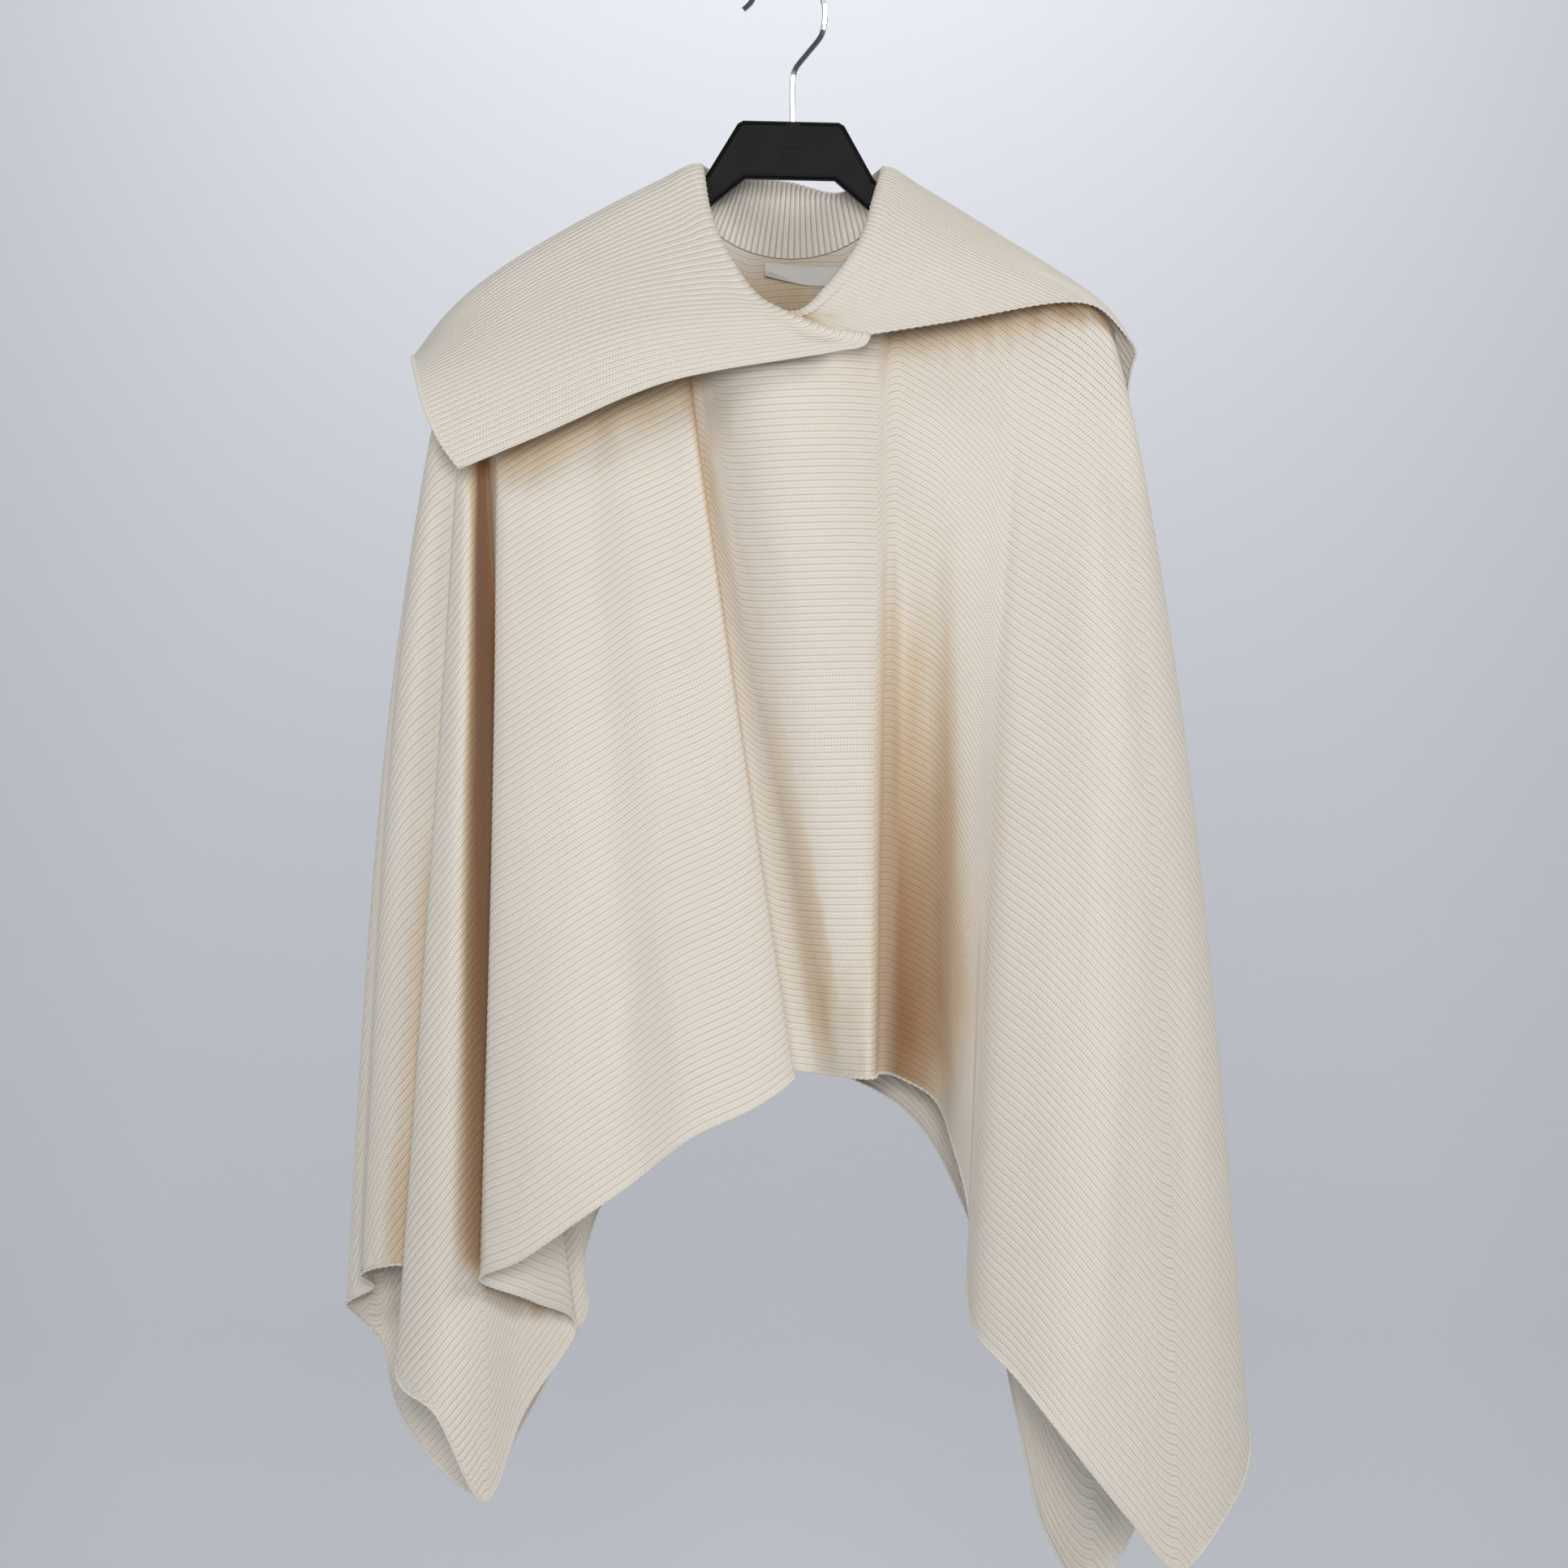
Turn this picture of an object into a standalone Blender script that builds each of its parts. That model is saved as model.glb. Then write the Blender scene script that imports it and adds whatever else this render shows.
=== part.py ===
"""Poncho sweater with a wide folded collar, hung on a clothes hanger.

Run with: blender --background --python part.py
The model is in metres, +Z up. The viewer faces the front along +Y, with +X to the viewer's right.
The origin is the inside top of the hanger's hook, where a rail holds it.

The garment is two knitted rectangles, front and back, sewn together along the shoulders, with a
ribbed collar band round the neck. The cloth is a ruled surface: every fold line runs straight from
the shoulder line or the neckline to a point on the lower edge. FRONT_FOLDS and BACK_FOLDS name
those lines in order round the garment, and smooth curves join them.
"""

import math
from collections import namedtuple

import bmesh
import bpy
from mathutils import Vector
from mathutils.bvhtree import BVHTree

MM = 0.001

# Cloth, in millimetres
WALL = 2.2
TIP_WALL = 1.1
SEAM_GAP = 0.3
PANEL_SHIFT = 0.25
LAYER_GAP = 1.0

# Hanger, in millimetres
HANGER_X = 4.0
HANGER_TILT_DEG = 1.3
HANGER_THICK = 9.0
HANGER_BEVEL = 3.2
BRIDGE_TOP = -92.0
BRIDGE_BOTTOM = -128.5
SOCKET_WIDTH = 9.0
SOCKET_HEIGHT = 16.0
SOCKET_RAISE = 0.8
SOCKET_DROP = 9.0

# Hook, in millimetres
HOOK_X = HANGER_X + 1.0
HOOK_WIRE = 3.5
HOOK_SOCKET_DEPTH = 14.0
HOOK_CLEARANCE = 0.3
HOOK_BOW_RADIUS = 25.5
HOOK_BOW_DEGREES = (-12, 8, 28, 48, 68, 88)
HOOK_STEPS = 44

# Label, in millimetres
LABEL_WIDTH = 51.0
LABEL_HEIGHT = 13.0
LABEL_THICK = 0.8
LABEL_LEFT = -13.0
LABEL_DROP = 2.0
LABEL_SLOPE = 0.09
LABEL_STAND_OFF = 0.5
LABEL_LOOSE_SHARE = 0.45
LABEL_LOOSE_CURL = 16.0
LABEL_COLUMNS = 6
LABEL_ROWS = 2

# Neckline, in millimetres: a ring that rides up over the hanger's arms at each side
NECK_HALF_WIDTH = 63.0
NECK_CORNER = 6.9
NECK_DEPTH = 50.0
NECK_SIDE_HEIGHT = -129.3
NECK_CORNER_FALL = 4.1
NECK_FRONT_DROP = 93.0
NECK_BACK_DROP = 33.0
NECK_SWELL = 38.0
NECK_SWELL_SPREAD = 0.9
NECK_EASE_LENGTH = 110.0

# Cloth over the hanger's arms
ROLL_RADIUS = 7.8
ROLL_LENGTH = ROLL_RADIUS * math.pi / 2
ARM_LIFT = 2.0
ARM_CLEAR_LENGTH = 45.0

Station = namedtuple("Station", "station reach height")
Fold = namedtuple("Fold", "name station x y z growth belly")
Line = namedtuple("Line", "start outward lean end growth belly station")
Section = namedtuple("Section", "name angle lift fold middle edge bulge", defaults=(0.0,))
Corner = namedtuple("Corner", "x z")

# Top edge of a hanger arm, on the right, before the hanger's tilt. Station 1 is the neck,
# station 2 is the tip. Past it, up to LAST_STATION, the fold lines fan out round the tip.
ARM_TOP = (
    Station(1.00, 69, -135.5),
    Station(1.20, 98, -150.5),
    Station(1.40, 129, -166.5),
    Station(1.60, 158, -182.0),
    Station(1.80, 182, -197.0),
    Station(1.92, 192, -205.5),
    Station(2.00, 199, -212.5),
)

# The rest of the hanger's right half, before its tilt: the end of the bridge, and the underside
# of the arm from its tip to the bridge
BRIDGE_END = (
    Corner(30.0, BRIDGE_TOP),
    Corner(33.5, -94.0),
    Corner(53.0, -127.5),
)
ARM_UNDERSIDE = (
    Corner(202.0, -216.5),
    Corner(202.5, -222.0),
    Corner(200.0, -227.0),
    Corner(194.0, -228.5),
    Corner(180.0, -218.5),
    Corner(158.0, -205.0),
    Corner(126.0, -188.0),
    Corner(92.0, -171.0),
    Corner(56.0, -152.0),
    Corner(28.0, BRIDGE_BOTTOM),
)

# Bends of the hook's wire: the stem and slant below its bow, and the flared tip after it
HOOK_STEM = (
    Corner(HOOK_X, BRIDGE_TOP - HOOK_SOCKET_DEPTH),
    Corner(HOOK_X, BRIDGE_TOP),
    Corner(HOOK_X, -66.0),
    Corner(HOOK_X + 1.5, -59.0),
    Corner(HOOK_X + 10.0, -48.0),
    Corner(HOOK_X + 18.0, -37.5),
)
HOOK_TIP = (
    Corner(-10.5, -1.8),
    Corner(-18.0, -9.5),
    Corner(-21.0, -16.5),
    Corner(-26.0, -21.5),
)

# Where the cloth goes round the tip of an arm
ARM_TIP_STATION = 2.0
LAST_STATION = 2.16
TIP_SPREAD = 5.0
TIP_WALL_STATION = 1.95
TIP_WALL_LENGTH = 150.0

# Fold lines of the front, from the viewer's left to right. station is where the line starts:
# from -1 to 1 on the front neckline, and beyond that along the arm. x, y, z is its lower end.
# growth is how the depth comes in down the line: 1 is even, below 1 is early. belly is how far
# the line bows sideways at mid height.
FRONT_FOLDS = (
    Fold("left_seam", -2.16, -281, 42, -841, 0.9, -16),
    Fold("notch_inner", -2.13, -262, 27, -828, 0.9, -19),
    Fold("notch_outer", -2.10, -268, 10, -818, 0.9, -14),
    Fold("outer_strip", -2.06, -254, -2, -811, 0.8, -10),
    Fold("strip_valley", -2.02, -236, -2, -812, 0.7, -3),
    Fold("strip_left_edge", -1.99, -240, -26, -878, 0.6, 1),
    Fold("strip_middle", -1.96, -216, -40, -895, 0.6, 0),
    Fold("left_corner", -1.92, -186, -30, -952, 0.6, -3),
    Fold("pleat_wall", -1.885, -164, -2, -902, 0.65, -8),
    Fold("pleat_inner", -1.84, -133, 25, -853, 0.8, -14),
    Fold("pleat_return", -1.805, -157, -16, -830, 0.65, -6),
    Fold("panel_left_edge", -1.77, -187, -50, -811, 0.6, 3),
    Fold("panel_left", -1.66, -161, -68, -797, 0.7, 0),
    Fold("panel_middle", -1.52, -121, -74, -769, 0.75, 0),
    Fold("panel_crease", -1.42, -94, -68, -751, 0.8, 0),
    Fold("panel_right", -1.32, -57, -75, -722, 0.85, 0),
    Fold("panel_right_turn", -1.19, -17, -71, -703, 1.0, 0),
    Fold("centre_left_edge", -1.08, 6, -53, -687, 0.95, 0),
    Fold("centre_underlap", -0.95, -8, -20, -685, 1.3, -4),
    Fold("centre_strip", -0.60, 18, -9, -688, 1.3, 0),
    Fold("centre_middle", 0.10, 36, -20, -690, 1.5, 0),
    Fold("centre_right_edge", 0.72, 53, -31, -690, 1.45, 0),
    Fold("valley_left", 0.95, 60, 6, -690, 1.45, 0),
    Fold("valley_deep", 1.05, 75, 45, -697, 1.45, 0),
    Fold("valley_right", 1.14, 96, 44, -710, 1.45, 0),
    Fold("drape_wall_upper", 1.25, 107, 22, -738, 1.5, 0),
    Fold("drape_wall_lower", 1.38, 116, 2, -778, 1.6, 0),
    Fold("drape_underlap", 1.48, 114, -12, -829, 1.6, 0),
    Fold("drape_left_edge", 1.56, 119, -37, -848, 1.25, 0),
    Fold("drape_left", 1.68, 141, -55, -870, 0.95, 2),
    Fold("drape_ridge", 1.84, 173, -69, -909, 0.7, 5),
    Fold("drape_right", 1.94, 211, -60, -957, 0.7, 10),
    Fold("right_corner", 2.00, 242, -44, -991, 0.7, 13),
    Fold("right_side_edge", 2.04, 274, -20, -964, 0.7, 14),
    Fold("right_outline", 2.08, 293, 8, -933, 0.8, 14),
    Fold("right_side_turn", 2.12, 291, 32, -888, 0.8, 13),
    Fold("right_seam", 2.16, 289, 50, -860, 0.9, 12),
)

# Fold lines of the back, going on round from the right seam to the left seam. Here a station
# from 1 to -1 is on the back neckline.
BACK_FOLDS = (
    Fold("back_right_turn", 2.12, 281, 70, -890, 0.9, 10),
    Fold("back_right_side", 2.06, 250, 85, -951, 0.9, 8),
    Fold("back_right_corner", 1.97, 200, 73, -1033, 0.9, 5),
    Fold("back_right_hem", 1.88, 170, 62, -994, 0.9, 3),
    Fold("back_right_fold", 1.78, 150, 59, -915, 0.9, 0),
    Fold("back_right_rise", 1.64, 137, 79, -849, 1.0, 0),
    Fold("back_drape", 1.45, 119, 97, -788, 1.0, 0),
    Fold("back_drape_inner", 1.22, 86, 88, -728, 1.1, 0),
    Fold("back_valley_right", 0.85, 45, 73, -700, 1.2, 0),
    Fold("back_centre", 0.0, -3, 90, -691, 1.2, 0),
    Fold("back_ridge_left", -0.85, -47, 99, -708, 1.2, 0),
    Fold("back_valley_left", -1.22, -88, 80, -738, 1.1, 0),
    Fold("back_left", -1.45, -119, 76, -780, 1.0, 0),
    Fold("back_left_rise", -1.62, -131, 68, -821, 0.9, 0),
    Fold("back_left_fold", -1.74, -128, 54, -849, 0.8, 0),
    Fold("back_left_hem", -1.84, -144, 46, -874, 0.8, 0),
    Fold("back_left_hem_low", -1.92, -168, 42, -918, 0.8, 0),
    Fold("back_left_corner", -1.98, -196, 42, -962, 0.8, 0),
    Fold("back_left_side", -2.03, -223, 52, -948, 0.8, -3),
    Fold("back_left_side_up", -2.07, -250, 62, -912, 0.8, -6),
    Fold("back_left_inner", -2.09, -262, 65, -870, 0.9, -13),
    Fold("back_left_turn", -2.13, -276, 58, -852, 0.9, -15),
)

# Collar band, from its left end at the front, round the left shoulder, the back and the right
# shoulder, to its right end under the left one. angle is the place on the neckline, from the
# front centre (0) to the right (90), the back (180) and the left (270). lift holds the seam out
# from the neckline where the left end lies over the right. fold is the folded top edge, middle
# lies half way down the fall, and edge is the free edge. bulge is how far the band rises over the
# straight line between those two, where it bends over the tip of an arm.
COLLAR = (
    Section("left_end", 372, 12, (51, -71, -235), (-72, -66, -263), (-199, -56, -315)),
    Section("left_front", 364, 12, (31, -71, -231), (-84, -63, -246), (-211, -50, -300)),
    Section("left_front_rise", 350, 11, (9, -68, -223), (-92, -59, -231), (-219, -44, -284)),
    Section("left_neck", 331, 6, (-14, -58, -210), (-101, -50, -216), (-225, -38, -267)),
    Section("left_neck_rise", 310, 0, (-33, -43, -182), (-113, -39, -198), (-229, -28, -253)),
    Section("left_side", 291, 0, (-45, -24, -152), (-136, -27, -188), (-232, -15, -243), 2),
    Section("left_shoulder_front", 278, 0, (-50, -8, -122.5), (-164, -11, -179), (-233, -4, -240), 5),
    Section("left_shoulder", 270, 0, (-51, 0, -119), (-168, 0, -176), (-233, 3, -239), 6.5),
    Section("left_shoulder_back", 262, 0, (-50, 8, -118), (-165, 11, -179), (-232, 9, -246), 5),
    Section("left_back", 244, 0, (-43, 25, -118), (-132, 36, -200), (-214, 30, -290), 1),
    Section("left_back_neck", 214, 0, (-24, 47, -116.5), (-76, 66, -222), (-120, 76, -336)),
    Section("back", 180, 0, (5, 55, -119), (4, 76, -232), (4, 84, -352)),
    Section("right_back_neck", 146, 0, (34, 47, -127), (82, 66, -224), (126, 76, -336)),
    Section("right_back", 116, 0, (53, 25, -122), (132, 36, -202), (208, 30, -292), 1),
    Section("right_shoulder_back", 98, 0, (59, 8, -119.5), (164, 11, -188), (219, 9, -243), 6),
    Section("right_shoulder", 90, 0, (60, 0, -120.5), (168, 0, -184), (221, 0, -236), 8),
    Section("right_shoulder_front", 82, 0, (59, -8, -125), (160, -11, -185), (213, -9, -226), 6),
    Section("right_side", 69, 0, (54, -24, -144), (126, -26, -180), (191, -20, -207), 2),
    Section("right_neck_rise", 52, 0, (48, -39, -166), (100, -38, -189), (155, -32, -211)),
    Section("right_neck", 36, 0, (37, -48, -186), (76, -46, -203), (119, -42, -220)),
    Section("right_front", 18, 0, (22, -54, -205), (50, -53, -216), (84, -50, -227)),
    Section("right_front_low", 2, 0, (9, -56, -217), (32, -55, -225), (54, -54, -232)),
    Section("right_end", -13, 0, (-12, -54, -226), (4, -55, -231), (20, -54, -238)),
)
LEFT_END_SECTIONS = 4
RIGHT_END_SECTIONS = 6

# How finely the cloth is divided
FRONT_COLUMN_STEP = 14.0
BACK_COLUMN_STEP = 22.0
NECK_COLUMN_STEP = 7.0
COLLAR_COLUMN_STEPS = (16.0, 4.5, 3.0)
ROLL_ROWS = 3
FALL_ROWS = 9
COLLAR_ACROSS = (2, 2, 2, 4, 3, 3)
WRAP = 2
NORMAL_STEP = 0.05
NORMAL_LENGTH = 1.2
FOLD_BEGIN_SHARE = 0.15
LATE_BEGIN_SHARE = 0.40
EARLY_GROWTH = 1.3
LATE_GROWTH = 1.45
ROW_CROWDING = 1.15
BELLY_POWER = 0.75

# How the collar is laid on the body
FOLD_RADIUS = 3.0
SEAM_EASE = 1.0
ARM_CLEARANCE = ROLL_RADIUS + WALL + LAYER_GAP + 1.0
PUSH_REACH = 40.0
BORDER_SHARE = 0.75
SETTLE_PASSES = 4
SETTLE_SPREAD = 0.35
KNUCKLE_SHARE = 0.6


def remove_old_objects():
    """Start from an empty scene."""
    for old in list(bpy.data.objects):
        bpy.data.objects.remove(old, do_unlink=True)


def new_collection(name):
    """A collection of this name in the scene."""
    collection = bpy.data.collections.new(name)
    bpy.context.scene.collection.children.link(collection)
    return collection


def new_material(name, colour, roughness, metallic=0.0):
    """A plain Principled material."""
    material = bpy.data.materials.new(name)
    material.use_nodes = True
    shader = material.node_tree.nodes["Principled BSDF"]
    shader.inputs["Base Color"].default_value = (*colour, 1.0)
    shader.inputs["Roughness"].default_value = roughness
    shader.inputs["Metallic"].default_value = metallic
    return material


def interpolate(knots, rows, at):
    """A smooth curve through rows of numbers, at one place between the first and last knot."""
    last = len(knots) - 1
    span = max(0, min(last - 1, sum(1 for knot in knots if knot <= at) - 1))
    width = knots[span + 1] - knots[span]
    u = (at - knots[span]) / width

    def slope(index, column):
        before = max(index - 1, 0)
        after = min(index + 1, last)
        if before == index or after == index:
            return (rows[after][column] - rows[before][column]) / (knots[after] - knots[before])
        left = knots[index] - knots[before]
        right = knots[after] - knots[index]
        rise_left = (rows[index][column] - rows[before][column]) / left
        rise_right = (rows[after][column] - rows[index][column]) / right
        return (rise_left * right + rise_right * left) / (left + right)

    values = []
    for column in range(len(rows[0])):
        start = rows[span][column]
        end = rows[span + 1][column]
        slope_start = slope(span, column) * width
        slope_end = slope(span + 1, column) * width
        values.append(
            start * (2 * u**3 - 3 * u**2 + 1)
            + slope_start * (u**3 - 2 * u**2 + u)
            + end * (3 * u**2 - 2 * u**3)
            + slope_end * (u**3 - u**2)
        )
    return values


def chord_knots(points, power=0.5):
    """Knots spaced by a power of the distance between points."""
    knots = [0.0]
    for before, after in zip(points, points[1:]):
        knots.append(knots[-1] + max((Vector(after) - Vector(before)).length, 1e-6) ** power)
    return knots


def tilt(x, z):
    """Turn a point of the level hanger by the hanger's tilt about the foot of its hook."""
    angle = math.radians(HANGER_TILT_DEG)
    dx = x - HANGER_X
    dz = z - BRIDGE_TOP
    return (
        HANGER_X + dx * math.cos(angle) + dz * math.sin(angle),
        BRIDGE_TOP + dz * math.cos(angle) - dx * math.sin(angle),
    )


def arm_point(station):
    """A point of the cloth's shoulder line over the arm; a negative station is on the left."""
    stations = [row.station for row in ARM_TOP]
    rows = [(row.reach, row.height) for row in ARM_TOP]
    along = max(stations[0], min(abs(station), stations[-1]))
    reach, height = interpolate(stations, rows, along)
    reach_ahead, height_ahead = interpolate(stations, rows, min(along + 0.01, stations[-1]))
    reach_behind, height_behind = interpolate(stations, rows, max(along - 0.01, stations[0]))
    run = Vector((reach_ahead - reach_behind, height_ahead - height_behind)).normalized()
    reach -= run.y * ARM_LIFT
    height += run.x * ARM_LIFT
    x, z = tilt(HANGER_X + math.copysign(reach, station), height)
    return Vector((x, 0.0, z))


def neck_point(angle_deg):
    """A point of the neckline, by its angle from the front centre towards the right.

    At each side the neckline crosses the arm slantwise, over its round top.
    """
    angle = math.radians(angle_deg)
    depth = abs(NECK_DEPTH * math.cos(angle))
    on_arm = min(depth, ROLL_RADIUS)
    corner = 1 - on_arm / ROLL_RADIUS
    beyond_arm = (depth - on_arm) / (NECK_DEPTH - ROLL_RADIUS)
    drop = NECK_FRONT_DROP if math.cos(angle) > 0 else NECK_BACK_DROP
    height = NECK_SIDE_HEIGHT - NECK_CORNER_FALL * corner - drop * beyond_arm
    height -= ROLL_RADIUS - math.sqrt(ROLL_RADIUS**2 - on_arm**2)
    reach = NECK_HALF_WIDTH * math.sin(angle) + math.copysign(NECK_CORNER * corner, math.sin(angle))
    x, z = tilt(HANGER_X + reach, height)
    return Vector((x, -math.copysign(depth, math.cos(angle)), z))


def start_of_line(station, side):
    """Where a fold line starts, the way it rolls over the arm and how far it has turned there.

    side is -1 for the front and 1 for the back. Round the tip of an arm the lines fan out.
    """
    if abs(station) <= 1.0:
        start = neck_point(90.0 * station if side < 0 else 180.0 - 90.0 * station)
        return start, Vector((0.0, side, 0.0)), math.asin(min(abs(start.y) / ROLL_RADIUS, 1.0))
    past_tip = max(0.0, abs(station) - ARM_TIP_STATION) / (LAST_STATION - ARM_TIP_STATION)
    if past_tip == 0.0:
        return arm_point(station), Vector((0.0, side, 0.0)), 0.0
    turn = past_tip * math.pi / 2
    outward = Vector((math.copysign(math.sin(turn), station), side * math.cos(turn), 0.0))
    before_tip = arm_point(math.copysign(ARM_TIP_STATION - 0.02, station))
    slope = (arm_point(station) - before_tip).normalized()
    lean = math.asin(-slope.z) * math.sin(turn)
    return arm_point(station) + slope * (math.sin(turn) * TIP_SPREAD), outward, lean


def fold_table():
    """All fold lines round the garment, as rows of numbers with their knots.

    The stations run on round the garment: 0 is the front centre, LAST_STATION the right seam and
    twice that the back centre. A few rows are repeated at each end, so that the curves close.
    """
    rows = [(fold.x, fold.y, fold.z, fold.station, fold.growth, fold.belly) for fold in FRONT_FOLDS]
    for fold in BACK_FOLDS:
        round_place = 2 * LAST_STATION - fold.station
        rows.append((fold.x, fold.y, fold.z, round_place, fold.growth, fold.belly))
    once_round = 4 * LAST_STATION
    ahead = [(*row[:3], row[3] - once_round, *row[4:]) for row in rows[-WRAP:]]
    behind = [(*row[:3], row[3] + once_round, *row[4:]) for row in rows[:WRAP + 1]]
    rows = ahead + rows + behind
    return chord_knots([row[:3] for row in rows]), rows


FOLD_TABLE = fold_table()


def on_panel(round_place):
    """The station of a place on the way round, and its side: -1 for the front, 1 for the back."""
    if abs(round_place) <= LAST_STATION:
        return round_place, -1.0
    return math.copysign(2 * LAST_STATION, round_place) - round_place, 1.0


def fold_line(place):
    """The fold line at one place round the garment, with its start and roll."""
    knots, rows = FOLD_TABLE
    x, y, z, round_place, growth, belly = interpolate(knots, rows, place)
    start, outward, lean = start_of_line(*on_panel(round_place))
    station = abs(on_panel(round_place)[0])
    return Line(start, outward, lean, Vector((x, y, z)), growth, belly, station)


def grown(share, growth):
    """How much of a fold's depth has come in at a share of the way down; a late fold begins lower."""
    late = max(0.0, min((growth - EARLY_GROWTH) / (LATE_GROWTH - EARLY_GROWTH), 1.0))
    begin = FOLD_BEGIN_SHARE + (LATE_BEGIN_SHARE - FOLD_BEGIN_SHARE) * late
    begun = min(share / begin, 1.0)
    return share**growth * begun**2 * (3 - 2 * begun)


def line_point(line, length):
    """A point at a distance down one fold line, from its start over the roll to its lower end."""
    near = min(length, ROLL_LENGTH)
    rolled = min(near, ROLL_RADIUS * (math.pi / 2 - line.lean))
    angle = line.lean + rolled / ROLL_RADIUS
    shoulder = line.start + line.outward * (ROLL_RADIUS * (math.sin(angle) - math.sin(line.lean)))
    shoulder.z -= ROLL_RADIUS * (math.cos(line.lean) - math.cos(angle)) + near - rolled
    if length <= ROLL_LENGTH:
        return shoulder
    total = (line.end - shoulder).length
    t = (length - ROLL_LENGTH) / total
    point = shoulder.lerp(line.end, t)
    below_arm = max(0.0, (length - ARM_CLEAR_LENGTH) / (total + ROLL_LENGTH - ARM_CLEAR_LENGTH))
    swell = ROLL_RADIUS + NECK_SWELL * math.exp(-((line.station / NECK_SWELL_SPREAD) ** 2))
    eased = min((length - ROLL_LENGTH) / NECK_EASE_LENGTH, 1.0)
    upper_y = shoulder.y + (line.outward.y * swell - shoulder.y) * eased**2 * (3 - 2 * eased)
    point.y = upper_y + (line.end.y - upper_y) * grown(below_arm, line.growth)
    point.x += line.belly * math.sin(math.pi * min(t, 1.0) ** BELLY_POWER)
    return point


def half_wall(line, length):
    """Half the cloth's thickness, which is less where it bends sharply round the tip of an arm."""
    at_tip = max(0.0, min((line.station - TIP_WALL_STATION) / (ARM_TIP_STATION - TIP_WALL_STATION), 1.0))
    high_up = 1.0 - min(length / TIP_WALL_LENGTH, 1.0) ** 2
    return (WALL - (WALL - TIP_WALL) * at_tip * high_up) / 2


def row_length(line, step, fall_rows):
    """How far down a fold line a row of the cloth lies."""
    if step <= ROLL_ROWS:
        return ROLL_LENGTH * step / ROLL_ROWS
    rest = (line.end - line_point(line, ROLL_LENGTH)).length
    return ROLL_LENGTH + rest * ((step - ROLL_ROWS) / fall_rows) ** ROW_CROWDING


def panel_grid(first_fold, fold_count, column_step, fall_rows):
    """Points of one panel's middle surface, as columns from top to hem, and the way to its face."""
    knots, rows = FOLD_TABLE
    first = WRAP + first_fold
    last = first + fold_count - 1
    places = []
    for index in range(first, last):
        span = (Vector(rows[index + 1][:3]) - Vector(rows[index][:3])).length
        at_neck = min(abs(on_panel(rows[index][3])[0]), abs(on_panel(rows[index + 1][3])[0])) < 1.0
        neck_span = abs(rows[index + 1][3] - rows[index][3]) * NECK_HALF_WIDTH * math.pi / 2
        pieces = max(2, round(span / column_step), at_neck * round(neck_span / NECK_COLUMN_STEP))
        for piece in range(pieces):
            places.append(knots[index] + (knots[index + 1] - knots[index]) * piece / pieces)
    places.append(knots[last])
    points = []
    halves = []
    for place in places:
        line = fold_line(place)
        before = fold_line(place - NORMAL_STEP)
        after = fold_line(place + NORMAL_STEP)
        column = []
        column_halves = []
        for step in range(ROLL_ROWS + fall_rows + 1):
            length = row_length(line, step, fall_rows)
            along = line_point(after, max(row_length(after, step, fall_rows), NORMAL_LENGTH))
            along -= line_point(before, max(row_length(before, step, fall_rows), NORMAL_LENGTH))
            down = line_point(line, length + 0.5) - line_point(line, max(length - 0.5, 0.0))
            column.append(line_point(line, length))
            column_halves.append(down.cross(along).normalized() * half_wall(line, length))
        points.append(column)
        halves.append(column_halves)
    return points, halves


def grid_normals(grid):
    """Unit normals of a grid of points, on the side that faces out of the garment."""
    normals = []
    for i in range(len(grid)):
        before = grid[max(i - 1, 0)]
        after = grid[min(i + 1, len(grid) - 1)]
        line = []
        for j in range(len(grid[i])):
            along = after[j] - before[j]
            down = grid[i][min(j + 1, len(grid[i]) - 1)] - grid[i][max(j - 1, 0)]
            line.append(down.cross(along).normalized())
        normals.append(line)
    return normals


def wall_mesh(name, grid, halves):
    """A closed wall round a grid of middle points, in millimetres.

    halves holds, for each point, the way from it to the wall's outer face.
    """
    columns = len(grid)
    rows = len(grid[0])
    mesh = bmesh.new()
    sheets = []
    for sign in (1.0, -1.0):
        sheet = []
        for i in range(columns):
            line = []
            for j in range(rows):
                line.append(mesh.verts.new((grid[i][j] + halves[i][j] * sign) * MM))
            sheet.append(line)
        sheets.append(sheet)
    outer, inner = sheets
    for i in range(columns - 1):
        for j in range(rows - 1):
            mesh.faces.new((outer[i][j], outer[i][j + 1], outer[i + 1][j + 1], outer[i + 1][j]))
            mesh.faces.new((inner[i][j], inner[i + 1][j], inner[i + 1][j + 1], inner[i][j + 1]))
    rim = [(i, 0) for i in range(columns)]
    rim += [(columns - 1, j) for j in range(1, rows)]
    rim += [(i, rows - 1) for i in range(columns - 2, -1, -1)]
    rim += [(0, j) for j in range(rows - 2, 0, -1)]
    for (i, j), (k, m) in zip(rim, rim[1:] + rim[:1]):
        mesh.faces.new((outer[i][j], outer[k][m], inner[k][m], inner[i][j]))
    bmesh.ops.recalc_face_normals(mesh, faces=mesh.faces)
    data = bpy.data.meshes.new(name)
    mesh.to_mesh(data)
    mesh.free()
    return data


def add_object(name, data, collection, material):
    """An object with one material, in a collection."""
    data.materials.append(material)
    thing = bpy.data.objects.new(name, data)
    collection.objects.link(thing)
    return thing


def tree_of(grid):
    """A search tree of a grid's middle surface, with faces turned out of the garment."""
    columns = len(grid)
    rows = len(grid[0])
    points = [point for column in grid for point in column]
    faces = []
    for i in range(columns - 1):
        for j in range(rows - 1):
            a = i * rows + j
            faces.append((a, a + 1, a + rows + 1, a + rows))
    return BVHTree.FromPolygons(points, faces)


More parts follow.
